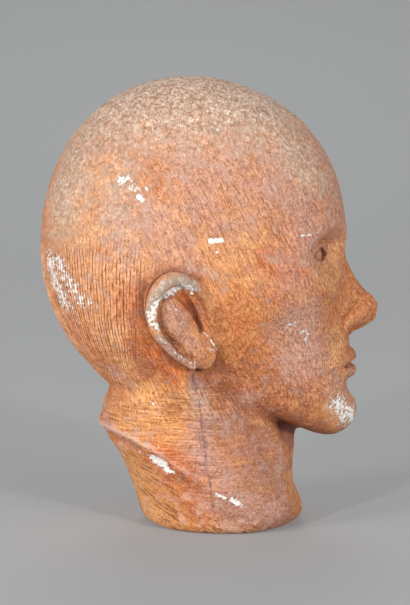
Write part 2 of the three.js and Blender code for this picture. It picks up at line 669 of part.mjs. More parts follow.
// Joins neighbouring points, cheapest first, until few enough triangles are left. The cost of a
// point is its squared distance from the planes of the triangles that it stands for.
function simplify(points, faces, wanted) {
  const minus = (a, b) => [a[0] - b[0], a[1] - b[1], a[2] - b[2]];
  const dot = (a, b) => a[0] * b[0] + a[1] * b[1] + a[2] * b[2];
  const cross = (a, b) => [a[1] * b[2] - a[2] * b[1], a[2] * b[0] - a[0] * b[2], a[0] * b[1] - a[1] * b[0]];
  const normalOf = (a, b, c) => cross(minus(b, a), minus(c, a));
  const planes = points.map(() => new Float64Array(10));
  const facesOf = points.map(() => new Set());
  const live = faces.map(() => true);
  faces.forEach((face, f) => {
    const [a, b, c] = face.map((v) => points[v]);
    const normal = normalOf(a, b, c);
    const area = Math.sqrt(dot(normal, normal)) + 1e-12;
    const [x, y, z] = normal.map((value) => value / area);
    const w = -(x * a[0] + y * a[1] + z * a[2]);
    const terms = [x * x, x * y, x * z, x * w, y * y, y * z, y * w, z * z, z * w, w * w];
    for (const v of face) {
      facesOf[v].add(f);
      terms.forEach((term, i) => {
        planes[v][i] += term * area;
      });
    }
  });
  const costAt = (q, [x, y, z]) => q[0] * x * x + 2 * q[1] * x * y + 2 * q[2] * x * z + 2 * q[3] * x
    + q[4] * y * y + 2 * q[5] * y * z + 2 * q[6] * y + q[7] * z * z + 2 * q[8] * z + q[9];
  const bestPoint = (q, a, b) => {
    const det = q[0] * (q[4] * q[7] - q[5] * q[5]) - q[1] * (q[1] * q[7] - q[5] * q[2])
      + q[2] * (q[1] * q[5] - q[4] * q[2]);
    const middle = [0, 1, 2].map((i) => (a[i] + b[i]) / 2);
    const scale = q[0] + q[4] + q[7];
    if (Math.abs(det) < joining.level * scale ** 3) {
      return [a, b, middle].reduce((best, p) => (costAt(q, p) < costAt(q, best) ? p : best), middle);
    }
    const [r, s, t] = [-q[3], -q[6], -q[8]];
    const solved = [
      (r * (q[4] * q[7] - q[5] * q[5]) - q[1] * (s * q[7] - q[5] * t) + q[2] * (s * q[5] - q[4] * t)) / det,
      (q[0] * (s * q[7] - q[5] * t) - r * (q[1] * q[7] - q[5] * q[2]) + q[2] * (q[1] * t - s * q[2])) / det,
      (q[0] * (q[4] * t - s * q[5]) - q[1] * (q[1] * t - s * q[2]) + r * (q[1] * q[5] - q[4] * q[2])) / det,
    ];
    const gap = minus(solved, middle);
    const edge = minus(a, b);
    return dot(gap, gap) > joining.stray * dot(edge, edge) ? middle : solved;
  };
  const heap = [];
  const before = (a, b) => a.cost < b.cost;
  const push = (item) => {
    let i = heap.push(item) - 1;
    while (i > 0) {
      const parent = (i - 1) >> 1;
      if (!before(item, heap[parent])) break;
      heap[i] = heap[parent];
      i = parent;
    }
    heap[i] = item;
  };
  const pop = () => {
    const top = heap[0];
    const item = heap.pop();
    if (heap.length === 0) return top;
    let i = 0;
    for (;;) {
      let child = 2 * i + 1;
      if (child >= heap.length) break;
      if (child + 1 < heap.length && before(heap[child + 1], heap[child])) child += 1;
      if (!before(heap[child], item)) break;
      heap[i] = heap[child];
      i = child;
    }
    heap[i] = item;
    return top;
  };
  const stamp = new Int32Array(points.length);
  const offer = (a, b) => {
    const q = planes[a].map((value, i) => value + planes[b][i]);
    const point = bestPoint(q, points[a], points[b]);
    const edge = minus(points[a], points[b]);
    const cost = costAt(q, point) + joining.perLength * dot(edge, edge);
    push({ a, b, point, cost, seen: stamp[a] + stamp[b] });
  };
  const neighbours = (v) => {
    const found = new Set();
    for (const f of facesOf[v]) for (const n of faces[f]) if (n !== v) found.add(n);
    return found;
  };
  // Twice a triangle's area over the square of its longest side.
  const fullness = (corners) => {
    const normal = normalOf(...corners);
    const sides = corners.map((corner, i) => minus(corner, corners[(i + 1) % 3]));
    return Math.sqrt(dot(normal, normal)) / Math.max(...sides.map((side) => dot(side, side)), 1e-12);
  };
  const turnsOver = (v, other, point) => {
    for (const f of facesOf[v]) {
      const face = faces[f];
      if (face.includes(other)) continue;
      const old = normalOf(...face.map((n) => points[n]));
      const corners = face.map((n) => (n === v ? point : points[n]));
      const now = normalOf(...corners);
      if (dot(old, now) < joining.turn * Math.sqrt(dot(old, old) * dot(now, now))) return true;
      const shape = fullness(corners);
      if (shape < joining.thin && shape < fullness(face.map((n) => points[n]))) return true;
    }
    return false;
  };
  points.forEach((_, v) => {
    for (const n of neighbours(v)) if (n > v) offer(v, n);
  });
  let count = faces.length;
  const gone = new Uint8Array(points.length);
  while (count > wanted && heap.length > 0) {
    const { a, b, point, seen } = pop();
    if (gone[a] || gone[b] || seen !== stamp[a] + stamp[b]) continue;
    const shared = [...neighbours(a)].filter((n) => neighbours(b).has(n));
    if (shared.length !== 2 || turnsOver(a, b, point) || turnsOver(b, a, point)) continue;
    for (const f of [...facesOf[b]]) {
      if (faces[f].includes(a)) {
        live[f] = false;
        count -= 1;
        for (const n of faces[f]) facesOf[n].delete(f);
      } else {
        faces[f] = faces[f].map((n) => (n === b ? a : n));
        facesOf[a].add(f);
      }
    }
    gone[b] = 1;
    points[a] = point;
    planes[b].forEach((value, i) => {
      planes[a][i] += value;
    });
    stamp[a] += 1;
    for (const n of neighbours(a)) offer(Math.min(a, n), Math.max(a, n));
  }
  return faces.filter((_, f) => live[f]);
}

// The mesh

function headGeometry() {
  const { points, faces } = tessellate(surface.low, surface.high, surface.cell);
  pullToSurface(points, surface.projections);
  const kept = simplify(points, faces, surface.triangles);
  const ids = new Map();
  const positions = [];
  const corners = kept.flat().map((v) => {
    if (!ids.has(v)) {
      const [x, y, z] = points[v];
      ids.set(v, ids.size);
      positions.push(x, y, Math.abs(z) < surface.flatWithin ? 0 : z);
    }
    return ids.get(v);
  });
  const geometry = new THREE.BufferGeometry();
  geometry.setAttribute("position", new THREE.Float32BufferAttribute(positions, 3));
  geometry.setIndex(corners);
  geometry.computeVertexNormals();
  return geometry;
}

const castHead = new THREE.Mesh(headGeometry(), new THREE.MeshStandardMaterial(paintedPlaster));
castHead.name = "head";

const group = new THREE.Group();
group.add(castHead);

export default group;
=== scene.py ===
import math

import bpy
import numpy as np
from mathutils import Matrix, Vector


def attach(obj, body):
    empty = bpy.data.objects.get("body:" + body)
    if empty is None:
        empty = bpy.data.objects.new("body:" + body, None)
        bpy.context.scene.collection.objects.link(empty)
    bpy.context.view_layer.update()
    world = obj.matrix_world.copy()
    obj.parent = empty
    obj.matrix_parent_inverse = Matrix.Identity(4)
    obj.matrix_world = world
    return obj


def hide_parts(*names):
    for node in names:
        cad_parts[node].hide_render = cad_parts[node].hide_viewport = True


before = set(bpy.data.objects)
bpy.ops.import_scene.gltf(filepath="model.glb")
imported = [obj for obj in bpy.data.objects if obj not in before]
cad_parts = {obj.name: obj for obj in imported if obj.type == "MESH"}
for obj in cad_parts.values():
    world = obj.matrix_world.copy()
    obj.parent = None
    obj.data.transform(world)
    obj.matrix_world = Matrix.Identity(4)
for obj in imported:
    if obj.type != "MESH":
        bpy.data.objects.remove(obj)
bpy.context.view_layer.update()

# Sizes of the head are millimetres in the part's frame, and become metres where its mesh is made. A point
# is [side, front, up]: side is x, front is -y, up is z.
mm = 0.001
real = np.float32

# the photograph's frame, and the camera fitted to it
view = dict(
    wide=410, high=605, away=1.7, height=0.36, aimAlong=0.0104, aimHeight=0.146,
    pixelAtAim=0.000665, sensor=36, farthest=100)


def addCamera():
    at = Vector((-view["away"], view["aimAlong"], view["height"]))
    aim = Vector((0, view["aimAlong"], view["aimHeight"]))
    data = bpy.data.cameras.new("photographView")
    data.sensor_width = view["sensor"]
    data.lens = view["sensor"] * (aim - at).length / view["pixelAtAim"] / view["high"]
    data.clip_end = view["farthest"]
    camera = bpy.data.objects.new("photographView", data)
    camera.location = at
    camera.rotation_euler = (aim - at).to_track_quat("-Z", "Y").to_euler()
    bpy.context.scene.collection.objects.link(camera)
    bpy.context.scene.camera = camera
    return at, aim


cameraAt, cameraAim = addCamera()
print("camera set")


# Rounded joins of distances

def blend(a, b, seam):
    share = np.clip(0.5 + 0.5 * (b - a) / seam, 0, 1)
    return b + (a - b) * share - seam * share * (1 - share)


def without(a, b, seam):
    return -blend(-a, b, seam)


def both(a, b, seam):
    return -blend(-a, -b, seam)


def ramp(x, low, high):
    t = np.clip((x - low) / (high - low), 0, 1)
    return t * t * (3 - 2 * t)


def turned(q, degrees):
    # points turned about the upright axis
    c, s = math.cos(math.radians(degrees)), math.sin(math.radians(degrees))
    return np.stack([c * q[:, 0] + s * q[:, 1], c * q[:, 1] - s * q[:, 0], q[:, 2]], 1)


def ball(p, at, size, turn=0):
    # an ellipsoid turned about the upright axis
    q = p - np.array(at, real)
    if turn:
        q = turned(q, turn)
    r = np.array(size, real)
    scaled = np.sqrt(((q / r) ** 2).sum(1))
    steep = np.sqrt(((q / r**2) ** 2).sum(1)) + 1e-9
    return scaled * (scaled - 1) / steep


def smoothPath(rows, steps):
    rows = np.array(rows, float)
    if len(rows) == 1:
        return np.vstack([rows, rows + 1e-3]).astype(real)
    full = np.vstack([2 * rows[0] - rows[1], rows, 2 * rows[-1] - rows[-2]])
    points = []
    for a, b, c, d in zip(full, full[1:], full[2:], full[3:]):
        for t in np.arange(steps) / steps:
            points.append(b + ((c - a) * t + (2 * a - 5 * b + 4 * c - d) * t**2
                               + (3 * b - a - 3 * c + d) * t**3) / 2)
    return np.vstack([points, rows[-1:]]).astype(real)


def toPath(p, path):
    # distance to a path, less its radius where it has one
    nearest = np.full(len(p), 1e9, real)
    radius = np.zeros(len(p), real)
    for a, b in zip(path, path[1:]):
        ab = b[:3] - a[:3]
        ap = p - a[:3]
        t = np.clip(ap @ ab / max(ab @ ab, 1e-9), 0, 1)
        square = ((ap - t[:, None] * ab) ** 2).sum(1)
        closer = square < nearest
        nearest[closer] = square[closer]
        if len(a) > 3:
            radius[closer] = (a[3] + t * (b[3] - a[3]))[closer]
    return np.sqrt(nearest) - radius


def profile(rows):
    # a smooth curve through rows of (place, value), without overshoot, level past its ends
    xs, ys = np.array(rows, float).T
    slopes = np.diff(ys) / np.diff(xs)
    tangents = np.zeros(len(xs))
    for i in range(1, len(xs) - 1):
        if slopes[i - 1] * slopes[i] > 0:
            tangents[i] = 2 / (1 / slopes[i - 1] + 1 / slopes[i])
    tangents[0], tangents[-1] = slopes[0], slopes[-1]

    def at(place):
        x = np.clip(place, xs[0], xs[-1])
        i = np.clip(np.searchsorted(xs, x) - 1, 0, len(xs) - 2)
        step = xs[i + 1] - xs[i]
        t = (x - xs[i]) / step
        rise = t * t * (3 - 2 * t)
        bend = t * (1 - t) * ((1 - t) * tangents[i] - t * tangents[i + 1]) * step
        return (ys[i] * (1 - rise) + ys[i + 1] * rise + bend).astype(real)
    return at


def section(side, front, middle, half, halfWidth, squareness):
    # distance to a level section with a rounded, slightly square outline
    scaled = ((np.abs((front - middle) / half) ** squareness
               + np.abs(side / halfWidth) ** squareness) ** (1 / squareness))
    return np.hypot(front - middle, side) * (1 - 1 / np.maximum(scaled, 0.01))


# steps between two rows of a path, and how far past a form it is still worked out
pathSteps = dict(tube=6, swell=4, mark=3)
slack = 14
swellReach = 2.6


class Clay:
    # points and their distance to the surface, worked on in steps as a modeller would
    def __init__(self, points, distance):
        self.p = points.astype(real)
        self.d = distance.astype(real)

    def near(self, path, reach):
        low, high = path[:, :3].min(0) - reach, path[:, :3].max(0) + reach
        return np.nonzero(((self.p > low) & (self.p < high)).all(1))[0]

    def add(self, form, join=blend):
        # a form with a path is a tube, and any other is a ball
        if "path" in form:
            self.tube(join, **form)
        else:
            self.ball(join, **form)

    def ball(self, join, at, size, seam, turn=0):
        i = self.near(np.array([at], float), max(size) + seam + slack)
        self.d[i] = join(self.d[i], ball(self.p[i], at, size, turn), seam)

    def tube(self, join, path, seam):
        path = smoothPath(path, pathSteps["tube"])
        i = self.near(path, path[:, 3].max() + seam + slack)
        self.d[i] = join(self.d[i], toPath(self.p[i], path), seam)

    def swells(self, group):
        # raises the surface softly near each path
        for rows, reach, by in group.values():
            path = smoothPath(rows, pathSteps["swell"])
            i = self.near(path, swellReach * reach)
            self.d[i] -= by * np.exp(-((toPath(self.p[i], path) / reach) ** 2))


# The skull is egg-shaped. The face is shaped level, and then its chin is lifted.
skull = dict(
    front=-19, up=184, halfWidth=77, halfLength=100, above=112, below=106, belowInFront=84,
    shallowing=(-40, 20), taper=0.09, squareness=2.38, backSquareness=2.14)
tilt = dict(turn=6, front=-10, up=150, chin=53, levelChin=64, stretch=1.047)


def skullAt(p):
    side, front, up = p.T
    along = (front - skull["front"]) / skull["halfLength"]
    below = skull["below"] + (skull["belowInFront"] - skull["below"]) * ramp(front, *skull["shallowing"])
    rise = (up - skull["up"]) / np.where(up > skull["up"], skull["above"], below)
    across = side / (skull["halfWidth"] * (1 - skull["taper"] * np.clip(along, -1, 1)))
    corner = np.where((along < 0) & (rise > 0), skull["backSquareness"], 2)
    lengthwise = (np.abs(along) ** corner + np.abs(rise) ** corner) ** (1 / corner)
    n = skull["squareness"]
    scaled = (np.abs(across) ** n + lengthwise**n) ** (1 / n)
    steep = np.sqrt((across / skull["halfWidth"]) ** 2 + (along / skull["halfLength"]) ** 2
                    + (rise / skull["above"]) ** 2)
    return (scaled - 1) / (steep / np.maximum(scaled, 1e-3) + 1e-6)


def levelPoints(p):
    turn = math.radians(tilt["turn"])
    c, s = math.cos(turn), math.sin(turn)
    front, up = p[:, 1] - tilt["front"], p[:, 2] - tilt["up"]
    height = up * c - front * s + tilt["up"]
    lifted = tilt["levelChin"] + (height - tilt["chin"]) / tilt["stretch"]
    return np.stack([p[:, 0], front * c + up * s + tilt["front"], lifted], 1).astype(real)


# sections of the lower face lie along the edge of the jaw, which rises towards the ear
jaw = dict(
    rise=0.42, riseFrom=66, riseLength=70, middle=8, back=30, lowest=60.5, floor=59, floorSeam=6,
    top=180, topSeam=10, seam=16,
    front=profile([(59, 54), (62, 64), (66, 71.5), (72, 76), (82, 77.5), (110, 78), (128, 79), (150, 75),
                   (175, 72)]),
    halfWidth=profile([(59, 22), (62, 33), (66, 40), (73, 46), (84, 50), (100, 54), (120, 59), (145, 65),
                       (175, 68)]),
    squareness=profile([(60, 1.9), (80, 2.0), (120, 2.15), (160, 2.4)]))


def jawAt(p):
    side, front, up = p.T
    height = up - jaw["rise"] * np.clip(jaw["riseFrom"] - front, 0, jaw["riseLength"])
    level = np.maximum(height, jaw["lowest"])

    def wallAt(z):
        half = np.where(front > jaw["middle"], jaw["front"](z) - jaw["middle"], jaw["back"])
        return section(side, front, jaw["middle"], half, jaw["halfWidth"](z), jaw["squareness"](z))
    slope = (wallAt(level + 1) - wallAt(level - 1)) / 2
    wall = wallAt(level) / np.sqrt(1 + slope**2)
    return both(both(wall, jaw["floor"] - height, jaw["floorSeam"]), up - jaw["top"], jaw["topSeam"])


# Balls and tubes of the face, each with the seam that joins it. A row of a tube's path ends in its radius.
faceParts = dict(
    forehead=dict(at=(0, 22, 212), size=(55, 56, 58), seam=22),
    chin=dict(at=(0, 64, 76.5), size=(19, 18, 12.5), seam=10),
    brow=dict(path=[(7, 73, 190, 8), (24, 71.5, 194.5, 8), (40, 62, 195, 7), (50, 49, 190, 6)], seam=10),
    socket=dict(at=(37, 80, 178.5), size=(25, 14.5, 13), seam=9, turn=-24))
nose = dict(
    root=dict(path=[(0, 64, 184, 8), (0, 69, 170, 10), (0, 72, 156, 13), (0, 75, 143, 15.5)], seam=9),
    bridge=dict(path=[(0, 68, 184, 7.0), (0, 75.5, 170, 7.4), (0, 82.5, 156, 7.8), (0, 90, 143.5, 8.4)],
                seam=7),
    tip=dict(at=(0, 93, 139.8), size=(9.5, 10, 8.4), seam=4),
    body=dict(at=(7.5, 84, 135.5), size=(8.5, 11, 7.5), seam=6),
    wing=dict(path=[(5.5, 93.5, 138.5, 5.2), (10.5, 89, 137.6, 5.2), (14.2, 82.5, 135.4, 5.0),
                    (14.6, 77.5, 131.6, 4.4), (11.5, 75, 129.2, 3.4)], seam=4.5),
    septum=dict(path=[(0, 96.5, 134, 4.4), (0, 84, 128.5, 4.8)], seam=3),
    nostril=dict(at=(7.6, 87, 127.6), size=(3.3, 6.4, 5.6), seam=1.8, turn=-20))
lips = dict(
    upper=dict(seam=3, path=[
        (27, 63, 106, 1.5), (17, 74.5, 107.8, 3.2), (7, 80.6, 110.4, 4.0), (0, 81.6, 109.4, 4.0),
        (-7, 80.6, 110.4, 4.0)]),
    lower=dict(seam=3, path=[
        (26, 63, 105, 1.5), (16, 74, 102.5, 4.0), (0, 79.5, 100.5, 5.2), (-8, 78.4, 100.9, 5)]))

# soft forms: path, reach, rise
faceForms = dict(
    muzzle=([(-12, 76, 116), (12, 76, 116)], 21, 3.6),
    mouthSide=([(24, 66, 104)], 18, 1.2),
    jawCorner=([(52, 2, 122), (50, 12, 106)], 17, 2.6),
    cheekbone=([(44, 58, 158), (56, 44, 160)], 12, 3.4),
    cheekArch=([(60, 34, 161), (68, 16, 162), (71, -2, 161)], 13, 1.5),
    temple=([(62, 42, 196), (70, 20, 204)], 21, -2.6),
    cheekHollow=([(54, 36, 134), (50, 40, 116)], 18, -2.2))
socketForms = dict(
    innerCorner=([(19, 70, 184)], 6, -2.2),
    browMiddle=([(0, 80, 192)], 9, 1.0),
    lowerRim=([(24, 69, 165), (38, 65, 161), (50, 54, 164)], 8, 1.2))
mouthForms = dict(
    innerEye=([(16.5, 67, 178)], 2.2, 0.8),
    underEye=([(21, 69, 168), (32, 68, 164.5), (43, 61, 167)], 3.4, -0.5),
    wingCrease=([(20.5, 75.5, 129.5), (20.2, 79.5, 138), (15, 86, 143.5)], 2.4, -1.2),
    lipLine=([(0, 83.8, 105.6), (12, 80.4, 105.8), (21, 74, 105.7), (26, 70, 105.4)], 1.7, -2.0),
    lipCorner=([(28.5, 68, 105)], 3.6, -1.2),
    lipGroove=([(0, 85, 125), (0, 86, 115)], 2.8, -1.3),
    lipGrooveSide=([(4.6, 84, 125), (5.0, 86, 115)], 2.0, 0.7),
    underLip=([(-12, 77, 90), (0, 80, 89.5), (12, 77, 90)], 6, -2.2),
    cheekFold=([(21, 79, 136), (28, 73, 124), (33, 66, 112)], 5.0, -0.9))

# the opening between the lids is cut forward of shallowest, down to a globe that stands out by bulge
eye = dict(
    at=(31.5, 54.5, 179.5), size=(15.2, 12.6, 12.6), turn=-9, lid=2.3, seam=5.5, reach=32,
    halfWidth=14.2, above=4.4, upperArch=0.75, below=3.9, lowerArch=0.85, slant=0.04, drop=0.4,
    steepness=0.9, cornerSeam=0.5, edge=1.1, shallowest=7, bulge=1.4,
    foldSpan=1.34, foldArch=0.6, fadeEnd=19.2, fadeOver=16, frontFrom=2, frontOver=4,
    crease=dict(side=1, high=8.8, low=2.2, depth=1.4, width=1.5),
    pouch=dict(side=-1, high=8.2, low=1.8, depth=0.5, width=1.8))


def addEye(clay):
    i = clay.near(np.array([eye["at"]], float), eye["reach"])
    q = turned(clay.p[i] - np.array(eye["at"], real), eye["turn"])
    across = np.abs(q[:, 0])

    def globe(thicker):
        return ball(q, (0, 0, 0), [r + thicker for r in eye["size"]])
    skin = blend(clay.d[i], globe(eye["lid"]), eye["seam"])
    arch = np.maximum(1 - (across / eye["halfWidth"]) ** 2, 0)
    height = q[:, 2] + eye["drop"] - eye["slant"] * q[:, 0]
    lens = np.where(height > 0, height - eye["above"] * arch ** eye["upperArch"],
                    -height - eye["below"] * arch ** eye["lowerArch"])
    opening = both(eye["steepness"] * lens, across - eye["halfWidth"], eye["cornerSeam"])
    opening = np.maximum(opening, eye["shallowest"] - q[:, 1])
    wideArch = np.maximum(1 - (across / (eye["halfWidth"] * eye["foldSpan"])) ** 2, 0) ** eye["foldArch"]
    fade = (np.clip((eye["fadeEnd"] - across) / eye["fadeOver"], 0, 1)
            * np.clip((q[:, 1] - eye["frontFrom"]) / eye["frontOver"], 0, 1))
    for fold in (eye["crease"], eye["pouch"]):
        line = fold["side"] * height - fold["low"] - (fold["high"] - fold["low"]) * wideArch
        skin = skin + fold["depth"] * np.exp(-((line / fold["width"]) ** 2)) * fade
    clay.d[i] = np.minimum(without(skin, opening, eye["edge"]), globe(eye["bulge"]))


def faceAt(p, start):
    face = Clay(levelPoints(p), start)
    face.add(faceParts["forehead"])
    face.d = blend(face.d, jawAt(face.p), jaw["seam"]).astype(real)
    face.add(faceParts["chin"])
    face.swells(faceForms)
    face.add(faceParts["brow"])
    face.add(faceParts["socket"], without)
    face.swells(socketForms)
    addEye(face)
    for name, form in nose.items():
        face.add(form, without if name == "nostril" else blend)
    for form in lips.values():
        face.add(form)
    face.swells(mouthForms)
    return face.d


# the neck is a column, trimmed below a sloping edge by a cone that narrows to the underside
neck = dict(
    front=profile([(0, 62), (9, 57.5), (20, 51), (32, 46.5), (44, 44), (54, 37), (66, 29), (84, 16),
                   (110, 8)]),
    back=profile([(0, -104), (30, -90), (52, -83), (68, -80.5), (80, -78), (92, -75), (110, -74)]),
    halfWidth=profile([(0, 66.5), (25, 62.8), (50, 61), (75, 57), (100, 56), (120, 54)]),
    squareness=2.3, steepness=0.95, top=118, topSeam=10,
    seamBehind=6, seamInFront=9, seamFrom=-45, seamOver=50)
neckParts = dict(
    muscle=dict(seam=8, path=[
        (57, -34, 122, 11), (52, -14, 88, 13), (42, 12, 52, 13), (30, 32, 20, 12), (22, 42, -8, 11)]),
    flank=dict(seam=6, path=[(48, -6, 92, 11), (46, 3, 76, 12), (43, 12, 60, 12.5), (38, 19, 44, 13)]),
    frontEdge=dict(seam=6, path=[
        (46, -10, 100, 10), (43, 1, 88, 11.5), (38.5, 15, 75.6, 12), (35.5, 24, 66, 12.2),
        (32.5, 29, 57, 12.4), (29, 34, 45, 12.5), (25, 33, 32, 13), (25, 32, 16, 13)]),
    throat=dict(seam=5, path=[
        (0, 18, 96, 13), (0, 31, 76, 13), (0, 35.4, 60, 13.4), (0, 35.5, 44, 13.2), (0, 34, 28, 12.4)]))
cone = dict(
    front=62, halfWidth=54, widening=0.3, squareness=2.05, steepness=0.92, seam=3,
    back=profile([(0, -52), (18, -56.5), (31, -61), (45, -67), (58, -75.5), (70, -84), (90, -95)]),
    rim=profile([(-62, 13), (-25, 6), (12, 6), (52, 22)]),
    lip=1.3, lipWidth=1.8, undercut=1.3, undercutWidth=2.4,
    alongEdge=profile([(-95, 1), (-55, 0.9), (-10, 0.5), (50, 0.25)]))
neckForms = dict(
    underJaw=([(48, 8, 96), (42, 26, 84), (32, 42, 74)], 9, -3))
napeForms = dict(  # the cropped hair ends in a low lip above the nape
    hairLip=([(0, -80, 101), (30, -72, 103), (52, -52, 107), (62, -40, 118)], 7, 1.6),
    underLip=([(0, -77, 90), (30, -70, 92), (52, -50, 96)], 5, -1.2))


def columnAt(p):
    side, front, up = p.T
    ahead, behind = neck["front"](up), neck["back"](up)
    column = section(side, front, (ahead + behind) / 2, (ahead - behind) / 2, neck["halfWidth"](up),
                     neck["squareness"])
    clay = Clay(p, both(neck["steepness"] * column, up - neck["top"], neck["topSeam"]))
    for form in neckParts.values():
        clay.add(form)
    clay.swells(neckForms)
    return clay.d


def coneAt(p):
    side, front, up = p.T
    behind = cone["back"](up)
    halfWidth = cone["halfWidth"] + cone["widening"] * up
    return cone["steepness"] * section(side, front, (cone["front"] + behind) / 2,
                                       (cone["front"] - behind) / 2, halfWidth, cone["squareness"])


def neckAt(p):
    column, wall = columnAt(p), coneAt(p)
    # the column overhangs the cone in a lip with a groove under it
    past = wall - column
    lip = cone["lip"] * np.exp(-((past / cone["lipWidth"] + 1) ** 2))
    undercut = cone["undercut"] * np.exp(-((past / cone["undercutWidth"] - 1) ** 2))
    return both(column, wall, cone["seam"]) + cone["alongEdge"](p[:, 1]) * (undercut - lip)


# the ear is shaped in axes of its own: back, up and out
ear = dict(
    at=(75, -26, 142), lean=33, flare=18, roll=12, tall=1.1, reach=(46, 50, 60), far=50, seam=5,
    plate=dict(at=(0, 2, -3), size=(18.5, 28, 5)))
earParts = dict(
    lobe=dict(at=(-2.5, -24, -1.5), size=(8.5, 8.8, 4.6), seam=5),
    root=dict(at=(-5, -1, -12), size=(14, 25, 12), seam=7),
    rim=dict(seam=2.4, path=[
        (-18, 3, 1, 2.2), (-18.8, 13, 4.4, 3.0), (-13.6, 23, 5.2, 4.0), (-5, 27, 5.2, 4.6),
        (5, 24.6, 4.8, 4.5), (13, 17, 4.4, 4.1), (16.8, 7, 3.8, 3.7), (16, -4, 3, 3.2),
        (12.5, -15, 2.2, 2.8), (7.5, -25, 1, 2.6)]),
    upperFold=dict(at=(1.6, 5, 0.6), size=(10.8, 15, 7), seam=3),
    lowerFold=dict(at=(-1, -12, -0.4), size=(9.4, 15, 6.4), seam=4))
earGrooves = dict(
    insideRim=([(-8, 18.5, 6), (0, 20, 6), (9.4, 15.6, 6), (13.2, 6, 5.6), (12.8, -5, 5), (10, -15.5, 4)],
               1.6, -1.1),
    towardsLobe=([(9, -17, 3.6), (3, -26, 3)], 2, -0.7))
earCuts = dict(
    hollow=dict(seam=2, path=[(-12, 14, 7.4, 3.8), (-14.2, 4, 5.8, 4.2), (-13, -7, 5, 3.4),
                              (-12, -14, 4.6, 1.8)]),
    slot=dict(seam=2, path=[(-7.6, 18, 5, 2.2), (-9.4, 11, 2.6, 3.0), (-10, 4, 1.2, 2.8),
                            (-9.4, -3, 1.4, 2.2), (-9, -9.6, 2.4, 1.3)]))


def nearEar(p):
    return np.nonzero((np.abs(p - np.array(ear["at"], real)) < np.array(ear["reach"])).all(1))[0]


def earPoints(p):
    lean, flare, roll = (math.radians(ear[name]) for name in ("lean", "flare", "roll"))
    back = np.array([0, -math.cos(lean), -math.sin(lean)])
    up = np.array([0, -math.sin(lean), math.cos(lean)])
    out = np.array([1.0, 0, 0])
    back, out = (math.cos(flare) * back + math.sin(flare) * out,
                 math.cos(flare) * out - math.sin(flare) * back)
    up, out = (math.cos(roll) * up + math.sin(roll) * out,
               math.cos(roll) * out - math.sin(roll) * up)
    return (p - np.array(ear["at"], real)) @ np.array([back, up / ear["tall"], out], real).T


def earAt(q):
    clay = Clay(q, ball(q, **ear["plate"]))
    for form in earParts.values():
        clay.add(form)
    clay.swells(earGrooves)
    return clay.d


def headAt(points):
    # distance of points [side, front, up] to the head's surface, both sides alike
    p = points.astype(real).copy()
    p[:, 0] = np.abs(p[:, 0])
    face = faceAt(p, skullAt(p))
    forward = np.clip((p[:, 1] - neck["seamFrom"]) / neck["seamOver"], 0, 1)
    seam = neck["seamBehind"] + (neck["seamInFront"] - neck["seamBehind"]) * forward
    clay = Clay(p, blend(face, neckAt(p), seam))
    clay.swells(napeForms)
    i = nearEar(p)
    around = earPoints(p[i])
    withEar = Clay(around, blend(clay.d[i], earAt(around), ear["seam"]))
    for form in earCuts.values():
        withEar.add(form, without)
    clay.d[i] = withEar.d
    return both(clay.d, -p[:, 2], cone["rim"](p[:, 1]))


def inParts(work, points, most=300000):
    return np.concatenate([work(points[i:i + most]) for i in range(0, len(points), most)])


# A surface through the field: a grid of distances, then one point in each cell that it crosses. Blocks are
# cells to a side, close is in blocks, and points nearer the floor than footSnap are put on it.
mesh = dict(
    cell=1.4, low=(-128, -6), high=(96, 114, 304), block=8, close=1.3,
    pulls=2, markPulls=12, triangles=190000, footSnap=0.25)


def sampleHead(cell):
    # distances on a grid that is alike on both sides, worked out only in blocks near the surface
    block = mesh["block"]
    low = np.array([cell / 2, *mesh["low"]])
    count = np.ceil((np.array(mesh["high"]) - low) / cell / block).astype(int)
    width = block * cell
    middles = [low[a] + (np.arange(count[a]) + 0.5) * width - 0.5 * cell for a in range(3)]
    rough = inParts(headAt, np.stack(np.meshgrid(*middles, indexing="ij"), -1).reshape(-1, 3))
    grid = rough.reshape(count)
    for a in range(3):
        grid = np.repeat(grid, block, a)
    inside = np.stack(np.meshgrid(*[np.arange(block)] * 3, indexing="ij"), -1).reshape(-1, 3)
    close = np.nonzero(np.abs(rough) < mesh["close"] * width)[0]
    for part in np.array_split(close, max(1, len(close) // 500)):
        cells = (np.stack(np.unravel_index(part, count), -1)[:, None] * block + inside).reshape(-1, 3)
        grid[tuple(cells.T)] = headAt(low + cells * cell)
    whole = np.concatenate([grid[::-1], grid])
    return whole, np.array([cell / 2 - len(grid) * cell, low[1], low[2]])


def keepApart(grid, rounds=6, nudge=0.01):
    # where the corners of a grid square alternate, the surface would touch itself
    around = ((0, 0), (1, 0), (1, 1), (0, 1))
    for _ in range(rounds):
        changed = 0
        for a, b in ((0, 1), (1, 2), (2, 0)):
            cut = [[slice(None)] * 3 for _ in range(4)]
            for n, (da, db) in enumerate(around):
                cut[n][a] = slice(da, grid.shape[a] - 1 + da)
                cut[n][b] = slice(db, grid.shape[b] - 1 + db)
            corners = [grid[tuple(c)] for c in cut]
            alike = [corner < 0 for corner in corners]
            where = np.nonzero((alike[0] == alike[2]) & (alike[1] == alike[3]) & (alike[0] != alike[1]))
            values = np.stack([corner[where] for corner in corners])
            which = np.abs(values).argmin(0)
            for n in range(len(which)):
                at = [int(w[n]) for w in where]
                at[a] += around[which[n]][0]
                at[b] += around[which[n]][1]
                grid[tuple(at)] = -nudge if grid[tuple(at)] >= 0 else nudge
                changed += 1
        if not changed:
            break


